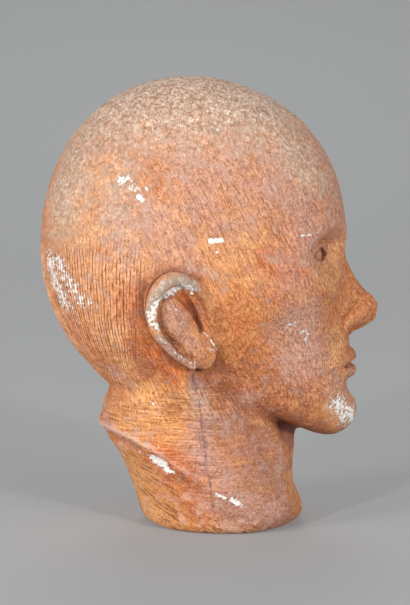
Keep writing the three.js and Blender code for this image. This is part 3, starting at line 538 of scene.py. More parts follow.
def wrapGrid(grid, low, cell):
    cells = tuple(n - 1 for n in grid.shape)
    total = np.zeros(cells + (3,), real)
    hits = np.zeros(cells, np.int16)
    crossings = []
    for axis in range(3):
        start, end = [slice(None)] * 3, [slice(None)] * 3
        start[axis], end[axis] = slice(0, -1), slice(1, None)
        a, b = grid[tuple(start)], grid[tuple(end)]
        cross = np.nonzero((a < 0) != (b < 0))
        va, vb = a[cross], b[cross]
        index = np.stack(cross, -1)
        place = index.astype(real)
        place[:, axis] += va / (va - vb)
        u, v = [o for o in range(3) if o != axis]
        for du in (0, -1):
            for dv in (0, -1):
                at = index.copy()
                at[:, u] += du
                at[:, v] += dv
                ok = ((at >= 0) & (at < np.array(cells))).all(1)
                np.add.at(hits, tuple(at[ok].T), 1)
                np.add.at(total, tuple(at[ok].T), place[ok])
        crossings.append((index, va < 0, u, v))
    used = hits > 0
    ids = np.full(cells, -1, np.int64)
    ids[used] = np.arange(used.sum())
    points = total[used] / hits[used][:, None] * cell + low
    quads = []
    for axis, (index, inside, u, v) in enumerate(crossings):
        around = []
        for du, dv in ((-1, -1), (0, -1), (0, 0), (-1, 0)):
            at = index.copy()
            at[:, u] += du
            at[:, v] += dv
            around.append(ids[tuple(at.T)])
        four = np.stack(around, -1)
        flip = ~inside if axis != 1 else inside
        four[flip] = four[flip][:, ::-1]
        quads.append(four)
    return points.astype(real), np.vstack(quads)


def quadNormals(points, quads):
    across = points[quads[:, 2]] - points[quads[:, 0]]
    along = points[quads[:, 3]] - points[quads[:, 1]]
    flat = np.cross(across, along)
    out = np.zeros_like(points)
    for n in range(4):
        np.add.at(out, quads[:, n], flat)
    return out / (np.linalg.norm(out, axis=1, keepdims=True) + 1e-9)


def pullOn(points, times, probe=0.2, flattest=0.2, longest=1.5):
    # moves points onto the surface, down the slope of the field
    for _ in range(times):
        d = inParts(headAt, points)
        rises = [inParts(headAt, points + probe * axis) - inParts(headAt, points - probe * axis)
                 for axis in np.eye(3)]
        slope = np.stack(rises, -1) / (2 * probe)
        steep = (slope**2).sum(1, keepdims=True)
        step = -d[:, None] * slope / np.maximum(steep, flattest)
        far = np.linalg.norm(step, axis=1, keepdims=True)
        points = points + step * np.minimum(1, longest / np.maximum(far, 1e-6))
    return points


def halve(points, quads):
    # each quad becomes four, with a point at its middle and on each side
    sides = np.concatenate([quads[:, [n, (n + 1) % 4]] for n in range(4)])
    pairs, which = np.unique(np.sort(sides, 1), axis=0, return_inverse=True)
    which = which.reshape(-1)
    count = len(quads)
    middle = len(points) + np.arange(count)
    side = [len(points) + count + which[n * count:(n + 1) * count] for n in range(4)]
    made = np.vstack([points, points[quads].mean(1), points[pairs].mean(1)])
    four = [np.stack([quads[:, n], side[n], middle, side[n - 1]], 1) for n in range(4)]
    return made.astype(real), np.vstack(four)


def pullAlong(points, normals, shortest=0.02, slopes=(0.4, 1.5), longest=1.2):
    # a quicker pull, along the normals
    d = inParts(headAt, points)
    probe = np.where(np.abs(d) > shortest, d, shortest)[:, None]
    slope = (d - inParts(headAt, points - normals * probe)) / probe[:, 0]
    step = np.clip(d / np.clip(slope, *slopes), -longest, longest)
    return points - normals * step[:, None]


def headSurface():
    grid, low = sampleHead(mesh["cell"])
    keepApart(grid)
    points, quads = wrapGrid(grid, low, mesh["cell"])
    print("wrapped", len(points), "points")
    points = pullOn(points, mesh["pulls"])
    points, quads = halve(points, quads)
    points = pullAlong(points, quadNormals(points, quads))
    print("halved to", len(points), "points")
    return points, quads


# Randomness that is the same on every run

def scatter(*whole):
    # one value from 0 to 1 for each row of whole numbers
    mix = np.zeros(len(whole[0]), np.uint32)
    for number, factor in zip(whole, (0x9E3779B1, 0x85EBCA77, 0xC2B2AE3D, 0x27D4EB2F)):
        mix ^= (np.asarray(number).astype(np.int64) & 0xFFFFFFFF).astype(np.uint32) * np.uint32(factor)
        mix ^= mix >> np.uint32(15)
        mix *= np.uint32(0x2C1B3C6D)
    mix ^= mix >> np.uint32(12)
    return (mix & np.uint32(0xFFFFFF)).astype(real) / 0xFFFFFF


def lumps(p, size, seed):
    # smooth random values from -1 to 1, with lumps of a size in millimetres, or one size per axis
    q = p / np.array(size, real)
    base = np.floor(q).astype(np.int64)
    t = q - base
    t = t * t * (3 - 2 * t)
    out = np.zeros(len(p), real)
    for n in range(8):
        step = np.array([n & 1, (n >> 1) & 1, (n >> 2) & 1])
        weight = np.where(step, t, 1 - t).prod(1)
        corner = base + step
        out += weight * scatter(corner[:, 0], corner[:, 1], corner[:, 2], np.full(len(p), seed))
    return 2 * out - 1


# Cropped hair: combed grooves that fan out from the crown and run down behind the ear. Where they
# spread too far apart their number doubles, so the grooves of even and odd doublings take turns. Spacing,
# depth and the soft edges are in mm, and narrow and sway are shares of the spacing.
hair = dict(
    whorlFront=-47, spacing=2.1, fewest=26, depth=0.42, narrow=0.22,
    edge=profile([(98, -60), (118, -54), (150, -52), (166, -46), (178, -22), (192, 6), (212, 24), (240, 36),
                  (270, 40), (300, 30)]),
    nape=profile([(-96, 96), (-76, 97), (-62, 101), (-50, 110)]),
    edgeSoften=(-9, 14.4), napeSoften=(-1.5, 3.5), earSoften=(1.2, 5),
    aboveEar=dict(front=(-62, -44), up=(168, 184), lessHair=0.9, lessComb=0.85),
    wander=((0.022, 34), (0.01, 9), (0.004, 4)), doubling=(0.35, 0.65),
    waver=12, sway=0.1, strength=(0.6, 0.4, 0.45), weakest=0.05, strongest=1.2)

# the first seed of each kind of lumps
seeds = dict(wander=1, waver=5, hills=21, grit=23, brush=24, stubble=25)


def hairShare(p, earDistance):
    front, up = p[:, 1], p[:, 2]
    behindEdge = ramp(hair["edge"](up) - front, *hair["edgeSoften"])
    aboveNape = ramp(up - hair["nape"](front), *hair["napeSoften"])
    return behindEdge * aboveNape * ramp(earDistance, *hair["earSoften"])


def combedShare(p, share):
    # over the ear the hair is only scratched in, and its combing fades towards the crown
    front, up = p[:, 1], p[:, 2]
    above = hair["aboveEar"]
    overEar = ramp(front, *above["front"]) * ramp(up, *above["up"])
    combed = share * relief["combStrength"](up) * (1 - above["lessComb"] * overEar)
    return share * (1 - above["lessHair"] * overEar), combed


def combing(p):
    # the number of the groove at each point, for even and for odd doublings, and the share of the odd
    side, front, up = p.T
    away = np.hypot(side, front - hair["whorlFront"])
    turn = np.arctan2(np.abs(side), hair["whorlFront"] - front)
    for seed, (by, size) in enumerate(hair["wander"], seeds["wander"]):  # in radians, and lumps in mm
        turn = turn + by * lumps(p, size, seed)
    level = np.log2(np.maximum(2 * math.pi * away / hair["spacing"] / hair["fewest"], 0.1))
    even = 2 * np.floor(level / 2 + 0.5)
    odd = 2 * np.floor(level / 2) + 1
    oddShare = ramp(np.abs(level - even), *hair["doubling"])
    phases = [turn / (2 * math.pi) * hair["fewest"] * 2**doubling for doubling in (even, odd)]
    return phases + [oddShare, away - up]


def grooves(p):
    # how deep a combed groove is at each point, from 0 to about 1
    even, odd, oddShare, _ = combing(p)
    common, own, wavering = hair["strength"]
    total = np.zeros(len(p), real)
    for seed, (phase, weight) in enumerate(((even, 1 - oddShare), (odd, oddShare)), seeds["waver"]):
        index = np.floor(phase)
        t = phase - index - 0.5
        apart = np.stack([index * 3.7, p[:, 1], p[:, 2]], 1)  # neighbours waver each in its own way
        waver = lumps(apart, (1, hair["waver"], hair["waver"]), seed)
        strength = np.clip(common + own * scatter(index, index + seed) + wavering * waver,
                           hair["weakest"], hair["strongest"])
        total += weight * strength * np.exp(-((t + hair["sway"] * waver) / hair["narrow"]) ** 2)
    return total


# Marks are placed by pixels of the photograph, on the surface that those pixels show.

# how a sight line walks up to the surface, in mm, each time by a share of its distance
walk = dict(start=1500, most=1900, steps=70, share=0.8, spare=10)


def surfaceAt(pixels):
    away = (cameraAim - cameraAt).normalized()
    right = away.cross(Vector((0, 0, 1))).normalized()
    up = right.cross(away)
    focal = (cameraAim - cameraAt).length / view["pixelAtAim"]
    rays = np.array([away * focal + right * (x - view["wide"] / 2) - up * (y - view["high"] / 2)
                     for x, y in pixels])
    rays = rays / np.linalg.norm(rays, axis=1, keepdims=True) * (1, -1, 1)
    start = np.array(cameraAt) / mm * (1, -1, 1)
    reach = np.full(len(rays), float(walk["start"]))
    for _ in range(walk["steps"]):
        reach = np.minimum(reach + walk["share"] * headAt(start + rays * reach[:, None]), walk["most"])
    missed = [pixels[i] for i in np.nonzero(reach > walk["most"] - walk["spare"])[0]]
    if missed:
        print("pixels beside the head:", missed)
    return start + rays * reach[:, None]


def placeMarks(groups, onSurface):
    # turns the spots of every mark into points of the surface, all in one go
    placed = onSurface([spot for rows in groups.values() for spots, *_ in rows for spot in spots])
    places, used = {}, 0
    for name, rows in groups.items():
        places[name] = []
        for spots, width, strength in rows:
            places[name].append((placed[used:used + len(spots)], width, strength))
            used += len(spots)
    return places


def marked(p, marks):
    # how strongly each point lies under any of the marks
    out = np.zeros(len(p), real)
    for spots, width, strength in marks:
        path = smoothPath(spots, pathSteps["mark"])
        low, high = path.min(0) - swellReach * width, path.max(0) + swellReach * width
        i = np.nonzero(((p > low) & (p < high)).all(1))[0]
        near = np.exp(-((toPath(p[i].astype(real), path) / width) ** 2))
        out[i] = np.maximum(out[i], strength * near)
    return out


# each row: pixels of the photograph, width in mm, strength
rightMarks = dict(
    chip=[
        ([(112, 188), (118, 186)], 2, 0.5), ([(120, 181), (127, 178)], 3.6, 0.7),
        ([(131, 186), (136, 191)], 4.4, 0.66), ([(137, 196), (141, 198)], 3.2, 0.7),
        ([(146, 190), (150, 185)], 1.8, 0.66), ([(125, 203), (132, 207)], 3, 0.3),
        ([(211, 241), (222, 240)], 2.2, 1.0), ([(216, 252)], 1.6, 0.7),
        ([(50, 262), (55, 282), (64, 302)], 11, 0.72), ([(58, 262), (70, 284), (80, 300)], 9, 0.64),
        ([(80, 296), (94, 304)], 6, 0.52), ([(72, 310), (76, 322)], 6, 0.48),
        ([(151, 324), (153, 312), (159, 302), (166, 295), (174, 289), (182, 286), (189, 288), (193, 292)],
         3.6, 0.78),
        ([(149, 312), (151, 322), (156, 326)], 3.6, 0.7), ([(176, 288), (186, 288)], 3.0, 0.58),
        ([(160, 338), (172, 348), (186, 360), (200, 366)], 3, 0.5), ([(203, 332), (216, 348)], 1.2, 0.85),
        ([(176, 310), (178, 318), (184, 325)], 3, 0.4), ([(208, 349), (214, 350)], 1.4, 0.6),
        ([(287, 326), (293, 325)], 3, 0.6), ([(302, 330), (306, 340)], 4, 0.5), ([(306, 350)], 3, 0.5),
        ([(336, 404), (346, 412), (352, 418)], 11, 0.68), ([(322, 402)], 3, 0.5),
        ([(155, 459), (162, 463), (165, 467)], 5, 0.95), ([(168, 469), (173, 472)], 2.6, 0.7),
        ([(217, 494), (226, 499)], 2.0, 0.75), ([(232, 500), (240, 504)], 3, 0.85),
        ([(250, 506)], 2, 0.5), ([(106, 428), (108, 436)], 1.6, 0.6),
        ([(132, 446), (146, 443), (160, 442)], 1.4, 0.5), ([(140, 452), (152, 457)], 1.6, 0.55),
        ([(280, 522), (268, 528)], 1.6, 0.5), ([(190, 530), (220, 532), (250, 531)], 1.4, 0.45),
        ([(153, 403)], 1.6, 0.6), ([(257, 176)], 1.8, 0.7), ([(217, 129)], 1.8, 0.7),
        ([(235, 170)], 1.4, 0.6), ([(282, 168), (286, 174)], 1.2, 0.5),
        ([(244, 246), (245, 252)], 1.5, 0.5), ([(300, 236), (318, 233)], 1.6, 0.5)],
    specks=[
        ([(178, 104), (205, 112), (235, 108)], 24, 0.26), ([(150, 108), (185, 122)], 20, 0.2),
        ([(118, 100), (150, 92)], 12, 0.2), ([(225, 124), (262, 132)], 16, 0.12),
        ([(280, 160), (300, 210)], 26, 0.1), ([(60, 250), (78, 330)], 18, 0.16),
        ([(104, 350), (140, 380)], 14, 0.16), ([(170, 345), (196, 366)], 6, 0.24),
        ([(150, 456), (170, 474)], 12, 0.14), ([(206, 520), (250, 528)], 8, 0.16),
        ([(110, 205), (190, 240)], 20, 0.06)],
    greyDust=[
        ([(148, 330), (149, 312), (156, 296), (168, 285), (182, 281), (196, 286)], 5.5, 0.95),
        ([(196, 286), (206, 296)], 3, 0.6)],
    mauve=[
        ([(300, 200), (312, 240)], 24, 0.9), ([(268, 120), (290, 160)], 28, 0.8),
        ([(196, 205), (222, 225)], 18, 0.6), ([(322, 150), (336, 200)], 26, 0.95),
        ([(225, 165), (262, 190)], 24, 0.75), ([(185, 160), (200, 200)], 20, 0.8),
        ([(160, 215), (175, 250)], 18, 0.75), ([(120, 205), (130, 245)], 18, 0.65),
        ([(222, 480), (216, 465)], 14, 0.8), ([(197, 386), (200, 400)], 6, 0.9),
        ([(203, 420), (207, 470)], 9, 1.0), ([(196, 436), (200, 462)], 8, 0.8),
        ([(222, 505), (280, 512)], 15, 0.9), ([(240, 440), (262, 460), (266, 485)], 20, 0.5),
        ([(300, 322), (304, 362)], 18, 1.2), ([(345, 385), (350, 410)], 14, 0.7),
        ([(330, 380), (340, 395)], 12, 0.6), ([(165, 268), (185, 262)], 11, 0.7),
        ([(168, 300), (176, 325), (192, 345)], 6, 0.9), ([(158, 340), (176, 358), (192, 366)], 5, 0.7),
        ([(236, 408), (250, 400)], 12, 0.5), ([(106, 395), (108, 425)], 7, 0.7),
        ([(165, 125), (150, 150)], 22, 0.35), ([(112, 432), (134, 446)], 6, 0.6),
        ([(290, 262), (300, 300)], 14, 0.6), ([(110, 370), (128, 380)], 8, 0.5)],
    deep=[
        ([(240, 320), (250, 360), (280, 385)], 26, 0.5), ([(140, 345), (170, 372)], 12, 0.95),
        ([(72, 320), (100, 360)], 16, 0.5), ([(172, 486), (200, 510)], 16, 0.4),
        ([(160, 452), (200, 480)], 12, 0.6), ([(160, 132), (208, 140)], 20, 0.5),
        ([(186, 300), (200, 330)], 6, 0.8), ([(130, 300), (140, 330)], 12, 0.6),
        ([(270, 260), (300, 275)], 12, 0.6)],
    # dark brown paint, and painted shade under the jaw, round the ear and along the foot
    brownAndShade=[
        ([(204, 386), (232, 396), (262, 406), (290, 418)], 12, 0.9),
        ([(226, 508), (258, 518), (286, 512)], 9, 1.5), ([(132, 352), (150, 370)], 9, 0.6),
        ([(200, 290), (222, 330)], 5, 0.5), ([(150, 460), (200, 486)], 5, 0.6),
        ([(240, 372), (300, 398)], 18, 0.6), ([(103, 408), (104, 428)], 7, 0.5),
        ([(235, 430), (262, 450), (268, 485)], 26, 0.75), ([(168, 268), (190, 270), (205, 290)], 4, 0.5),
        ([(188, 302), (194, 318), (200, 331)], 2.4, 1.2), ([(160, 342), (180, 360)], 4, 0.6)],
    ochre=[
        ([(150, 395), (178, 385)], 14, 0.8), ([(125, 425), (165, 430)], 16, 0.85),
        ([(140, 470), (150, 500), (165, 515)], 24, 0.75), ([(225, 330), (262, 372)], 20, 0.6),
        ([(80, 200), (60, 230)], 18, 0.5), ([(220, 280), (232, 300)], 14, 0.7),
        ([(180, 190), (172, 215)], 14, 0.5), ([(245, 300), (262, 345)], 14, 0.8),
        ([(280, 340), (290, 372)], 10, 0.7), ([(125, 340), (120, 365)], 9, 0.6),
        ([(88, 318), (112, 368)], 20, 0.6), ([(96, 270), (106, 300)], 16, 0.5)],
    seam=[
        ([(193, 375), (199, 398), (201, 420), (204, 440), (207, 462), (210, 482), (213, 508)], 1.3, 1.0)],
    dust=[
        ([(104, 112), (84, 140), (70, 172), (62, 204)], 24, 0.8), ([(120, 170), (112, 210)], 20, 0.5),
        ([(262, 112), (292, 140), (310, 165)], 20, 0.7), ([(196, 385), (202, 410)], 6, 0.3)],
    # dirt along the mould seam, and painted shade in the throat, under the ear and in the ear's crease
    seamDirtAndShade=[
        ([(194, 378), (199, 400), (203, 440), (208, 480)], 4, 0.55), ([(193, 378), (196, 384)], 5, 1.2),
        ([(150, 364), (172, 376), (196, 380)], 4, 0.6), ([(188, 306), (193, 318)], 2.5, 0.8),
        ([(284, 426), (290, 440), (291, 456)], 9, 1.5), ([(108, 434), (122, 452), (150, 468)], 3, 0.6)])

# The left side isn't in the photograph, so it gets a plainer set of the same marks, in the part's frame.
leftMarks = dict(
    chip=[
        ([(74, -38, 226), (75, -30, 221)], 5, 0.6), ([(72, -62, 214)], 3, 0.55),
        ([(46, -104, 176), (52, -99, 160)], 10, 0.55), ([(60, 40, 150), (62, 34, 146)], 3, 0.7),
        ([(56, -34, 52), (54, -26, 49)], 4.5, 0.85), ([(36, 30, 16), (46, 18, 19)], 2.6, 0.8),
        ([(20, -60, 22), (6, -62, 24)], 2.4, 0.7), ([(12, 74, 74), (4, 78, 70)], 7, 0.5),
        ([(86, -46, 168), (88, -36, 174)], 2.6, 0.7)],
    specks=[([(20, -30, 290), (50, -20, 270)], 24, 0.2), ([(50, -100, 190), (56, -90, 150)], 20, 0.14)],
    mauve=[
        ([(70, 20, 200), (58, 52, 205)], 24, 0.65), ([(60, -60, 210)], 20, 0.5),
        ([(54, 6, 60), (50, 14, 30)], 17, 0.7), ([(56, 44, 140), (50, 52, 120)], 12, 0.6),
        ([(0, -104, 200)], 22, 0.5), ([(74, -20, 196)], 18, 0.6)],
    deep=[
        ([(62, 20, 120), (60, 24, 96)], 26, 0.85), ([(54, -70, 120), (30, -86, 116)], 18, 0.75),
        ([(48, -50, 30), (20, -58, 20)], 20, 0.8), ([(66, -20, 112)], 12, 0.8)],
    # dark brown paint, and painted shade under the jaw and along the foot
    brownAndShade=[([(50, 4, 92), (42, 30, 80)], 12, 0.8), ([(40, 30, 12), (48, 10, 14)], 9, 0.8)],
    ochre=[
        ([(50, -56, 84), (20, -74, 80)], 20, 0.8), ([(70, 16, 160)], 14, 0.6),
        ([(56, -80, 196)], 16, 0.5)],
    dust=[([(40, -90, 250), (50, -104, 220)], 20, 0.7), ([(40, 60, 250)], 22, 0.6)])


# Relief: depths and lumps in mm, and hills as shares of the unevenness with the size of their lumps
relief = dict(
    unevenness=0.3, hills=((0.65, 15), (0.35, 6)), grit=0.14, gritSize=2.2, dustier=(225, 275),
    brush=0.08, brushSize=(14, 14, 1.7), stubble=0.08, stubbleSize=(2.2, 1.8, 9), stubbleLean=28,
    offEar=(1, 5), chip=0.3, chipEdge=(0.3, 0.7), seam=0.45, foot=(1, 7),
    combStrength=profile([(90, 1), (176, 1), (190, 0.5), (204, 0.28), (230, 0.2), (262, 0.12),
                          (300, 0.08)]))

# Where each part of the finish lies on the form, in mm. Most are the two ends of a soft edge, and the edges
# below the jaw and of the crown rise towards the front. The lip and the undercut have a place and a width,
# counted from the edge of the neck's cone, and crease and hollow look so far out for a facing surface.
coat = dict(
    riseFrom=-20, jawRise=0.35, jaw=(92, 108), crownRise=0.08, crown=(222, 290), skin=(60, 90),
    edgeTop=(80, 10), lip=(-2, 2), undercut=(4, 4), crease=3, hollow=11,
    onCone=(0, 6), throat=(-16, 10), lessOnThroat=0.7, lessOnCone=0.8, greyDust=(0.5, 3))


def rising(p, rise):
    # height above a plane that rises towards the front
    return p[:, 2] - rise * (p[:, 1] - coat["riseFrom"])


def belowHead(p):
    return 1 - ramp(rising(p, coat["jawRise"]), *coat["jaw"])


def leaning(p, degrees):
    # points with their second axis across, and their third along, a stroke that falls forward
    c, s = math.cos(math.radians(degrees)), math.sin(math.radians(degrees))
    return np.stack([p[:, 0], c * p[:, 1] + s * p[:, 2], c * p[:, 2] - s * p[:, 1]], 1)


def reliefAt(p, marks, earDistance):
    up = p[:, 2]
    share = hairShare(p, earDistance)
    height = -hair["depth"] * combedShare(p, share)[1] * grooves(p)
    hills = [by * lumps(p, size, seed) for seed, (by, size) in enumerate(relief["hills"], seeds["hills"])]
    height += relief["unevenness"] * sum(hills)
    grit = lumps(p, relief["gritSize"], seeds["grit"])
    height += relief["grit"] * grit * (0.5 + ramp(up, *relief["dustier"]))
    height += relief["brush"] * belowHead(p) * lumps(p, relief["brushSize"], seeds["brush"])
    stubble = (1 - share) * ramp(up, *coat["skin"]) * ramp(earDistance, *relief["offEar"])
    height += relief["stubble"] * stubble * lumps(
        leaning(p, relief["stubbleLean"]), relief["stubbleSize"], seeds["stubble"])
    height -= relief["chip"] * ramp(marks["chip"], *relief["chipEdge"])
    height -= relief["seam"] * marks["seam"]
    return height * ramp(up, *relief["foot"])


# The finished mesh, with what the paint needs to know stored on its points

def inMetres(p):
    return np.stack([p[:, 0], -p[:, 1], p[:, 2]], 1) * mm


def inMillimetres(co):
    return (np.stack([co[:, 0], -co[:, 1], co[:, 2]], 1) / mm).astype(real)


def earDistances(p):
    mirrored = p.copy()
    mirrored[:, 0] = np.abs(mirrored[:, 0])
    out = np.full(len(p), ear["far"], real)
    i = nearEar(mirrored)
    out[i] = earAt(earPoints(mirrored[i]))
    return out


def paintMarks(p, places, earDistance):
    marks = {name: marked(p, rows) for name, rows in places.items()}
    marks["greyDust"] = marks["greyDust"] * (1 - ramp(earDistance, *coat["greyDust"]))
    return marks


def makeHead():
    points, quads = headSurface()
    places = placeMarks(rightMarks, surfaceAt)
    onLeft = placeMarks(leftMarks, lambda spots: pullOn(np.array(spots, real), mesh["markPulls"]))
    for name in onLeft:
        places[name] += onLeft[name]
    normals = quadNormals(points, quads)

    def raised(rows):
        away = earDistances(rows)
        return reliefAt(rows, paintMarks(rows, places, away), away)
    height = inParts(raised, points)
    points = points + normals * height[:, None]
    points[np.abs(points[:, 2]) < mesh["footSnap"], 2] = 0
    data = bpy.data.meshes.new("castHead")
    data.vertices.add(len(points))
    data.vertices.foreach_set("co", inMetres(points).astype(np.float32).ravel())
    data.loops.add(quads.size)
    data.loops.foreach_set("vertex_index", quads[:, ::-1].astype(np.int32).ravel())
    data.polygons.add(len(quads))
    data.polygons.foreach_set("loop_start", np.arange(0, quads.size, 4, dtype=np.int32))
    data.update(calc_edges=True)
    piece = bpy.data.objects.new("castHead", data)
    bpy.context.scene.collection.objects.link(piece)
    thin = piece.modifiers.new("thin", "DECIMATE")
    thin.ratio = mesh["triangles"] / (2 * len(quads))
    thin.use_collapse_triangulate = True
    bpy.context.view_layer.objects.active = piece
    with bpy.context.temp_override(object=piece, active_object=piece):
        bpy.ops.object.modifier_apply(modifier=thin.name)
    print("thinned to", len(piece.data.polygons), "triangles")
    dressHead(piece, places)
    return piece


def dressHead(piece, places):
    data = piece.data
    co = np.empty(len(data.vertices) * 3, np.float32)
    data.vertices.foreach_get("co", co)
    p = inMillimetres(co.reshape(-1, 3))
    out = np.empty(len(data.vertices) * 3, np.float32)
    data.vertices.foreach_get("normal", out)
    normals = out.reshape(-1, 3) * (1, -1, 1)
    earDistance = earDistances(p)
    marks = paintMarks(p, places, earDistance)
    share = hairShare(p, earDistance)
    even, odd, oddShare, length = combing(p)
    hairs, combed = combedShare(p, share)
    marks.update(combEven=even, combOdd=odd, combShare=oddShare, combLength=length)
    marks.update(scalp=hairs, hair=combed)
    past = coneAt(p) - columnAt(p)
    top, soften = coat["edgeTop"]
    onEdge = ramp(top - p[:, 2], 0, soften) * cone["alongEdge"](p[:, 1])
    for name in ("lip", "undercut"):
        at, width = coat[name]
        marks[name] = onEdge * np.exp(-(((past - at) / width) ** 2))
    # how closed in the surface is a little way out along its normal, for painted shade in creases and
    # hollows
    for name in ("crease", "hollow"):
        reach = coat[name]
        marks[name] = np.clip(1 - inParts(headAt, p + reach * normals) / reach, 0, 1)
    onNeck = belowHead(p)
    onCone = ramp(past, *coat["onCone"]) * onNeck
    onThroat = ramp(p[:, 1], *coat["throat"])
    marks["neck"] = onNeck * (1 - coat["lessOnThroat"] * onThroat) * (1 - coat["lessOnCone"] * onCone)
    marks["coneWall"] = onCone
    marks["skin"] = (1 - hairs) * ramp(p[:, 2], *coat["skin"])
    marks["crown"] = np.maximum(marks.pop("dust"), ramp(rising(p, coat["crownRise"]), *coat["crown"]))
    for name, values in marks.items():
        layer = data.attributes.new(name, "FLOAT", "POINT")
        layer.data.foreach_set("value", values.astype(np.float32))
    data.shade_smooth()


# Finishes

def linear(hexColour):
    # sRGB hex to the linear colour that the shader takes
    parts = [int(hexColour[i:i + 2], 16) / 255 for i in (1, 3, 5)]
    return [c / 12.92 if c <= 0.04045 else ((c + 0.055) / 1.055) ** 2.4 for c in parts] + [1]


def node(tree, kind, settings=None, inputs=None):
    # adds a node, with its settings and its inputs: a socket is linked, anything else is a value
    made = tree.nodes.new(kind)
    for name, value in (settings or {}).items():
        setattr(made, name, value)
    for key, value in (inputs or {}).items():
        if isinstance(value, bpy.types.NodeSocket):
            tree.links.new(value, made.inputs[key])
        else:
            made.inputs[key].default_value = value
    return made


def perMetre(size):
    # a noise scale for lumps of a size in mm
    return 1 / (size * mm)


# Painted plaster: a cast of gypsum plaster under a terracotta-coloured wash, brushed on and rubbed. It
# gives a matt, chalky orange-brown that is darker in the comb marks and paler where it is worn, with
# white where the wash has chipped off.
paint = dict(
    pale="#DDA36F", middle="#BE7440", deep="#A04D16", mauve="#BE9080", rose="#D2AB9C", ochre="#DD9C56",
    orange="#C46322", brown="#8A4823", stain="#BAA188", bare="#7F6A5C", dust="#C4AD9A", brownDust="#A8754F",
    darkDust="#7E5A42", paleDust="#E6D6C6", grain="#F3ECE2", groove="#6E2E08", darkMauve="#7C5548",
    crease="#5E2A12", hollow="#98481A", speck="#54281A", plaster="#F3EEE6",
    plasterShade="#D5C8BA", greyDust="#9F9285", seam="#6A4449", roughness=0.82, chipRoughness=0.95,
    ior=1.5)

# noises: size of the lumps in mm, detail, roughness; each runs from about 0 to 1
noises = dict(
    clouds=(30, 3, 0.55), patches=(9, 3, 0.6), blots=(3.4, 3, 0.65), grain=(2.1, 3, 0.65),
    tooth=(1.2, 2, 0.6), ragged=(2.6, 5, 0.75), pits=(1.9, 2, 0.5), dots=(2.7, 3, 0.7))
noiseApart = 1.7
noiseSpan = (0.3, 0.7)

# strokes: turn in degrees from upright, size across in mm, length along and depth in sizes
strokes = dict(brush=(-88, 1.1, 13, 13), strokes=(-26, 1.1, 7, 1), scratches=(-62, 1.5, 9, 9))
strokeNoise = {"Detail": 3, "Distortion": 0.5}

# lines along the combing: noises with so many to a groove, each so many mm long
combNoises = dict(hairs=(4, 6), dashes=(1, 8))
combNoise = {"Scale": 1, "Detail": 2, "Distortion": 0.3}
combGroove = (0.3, 0.48)

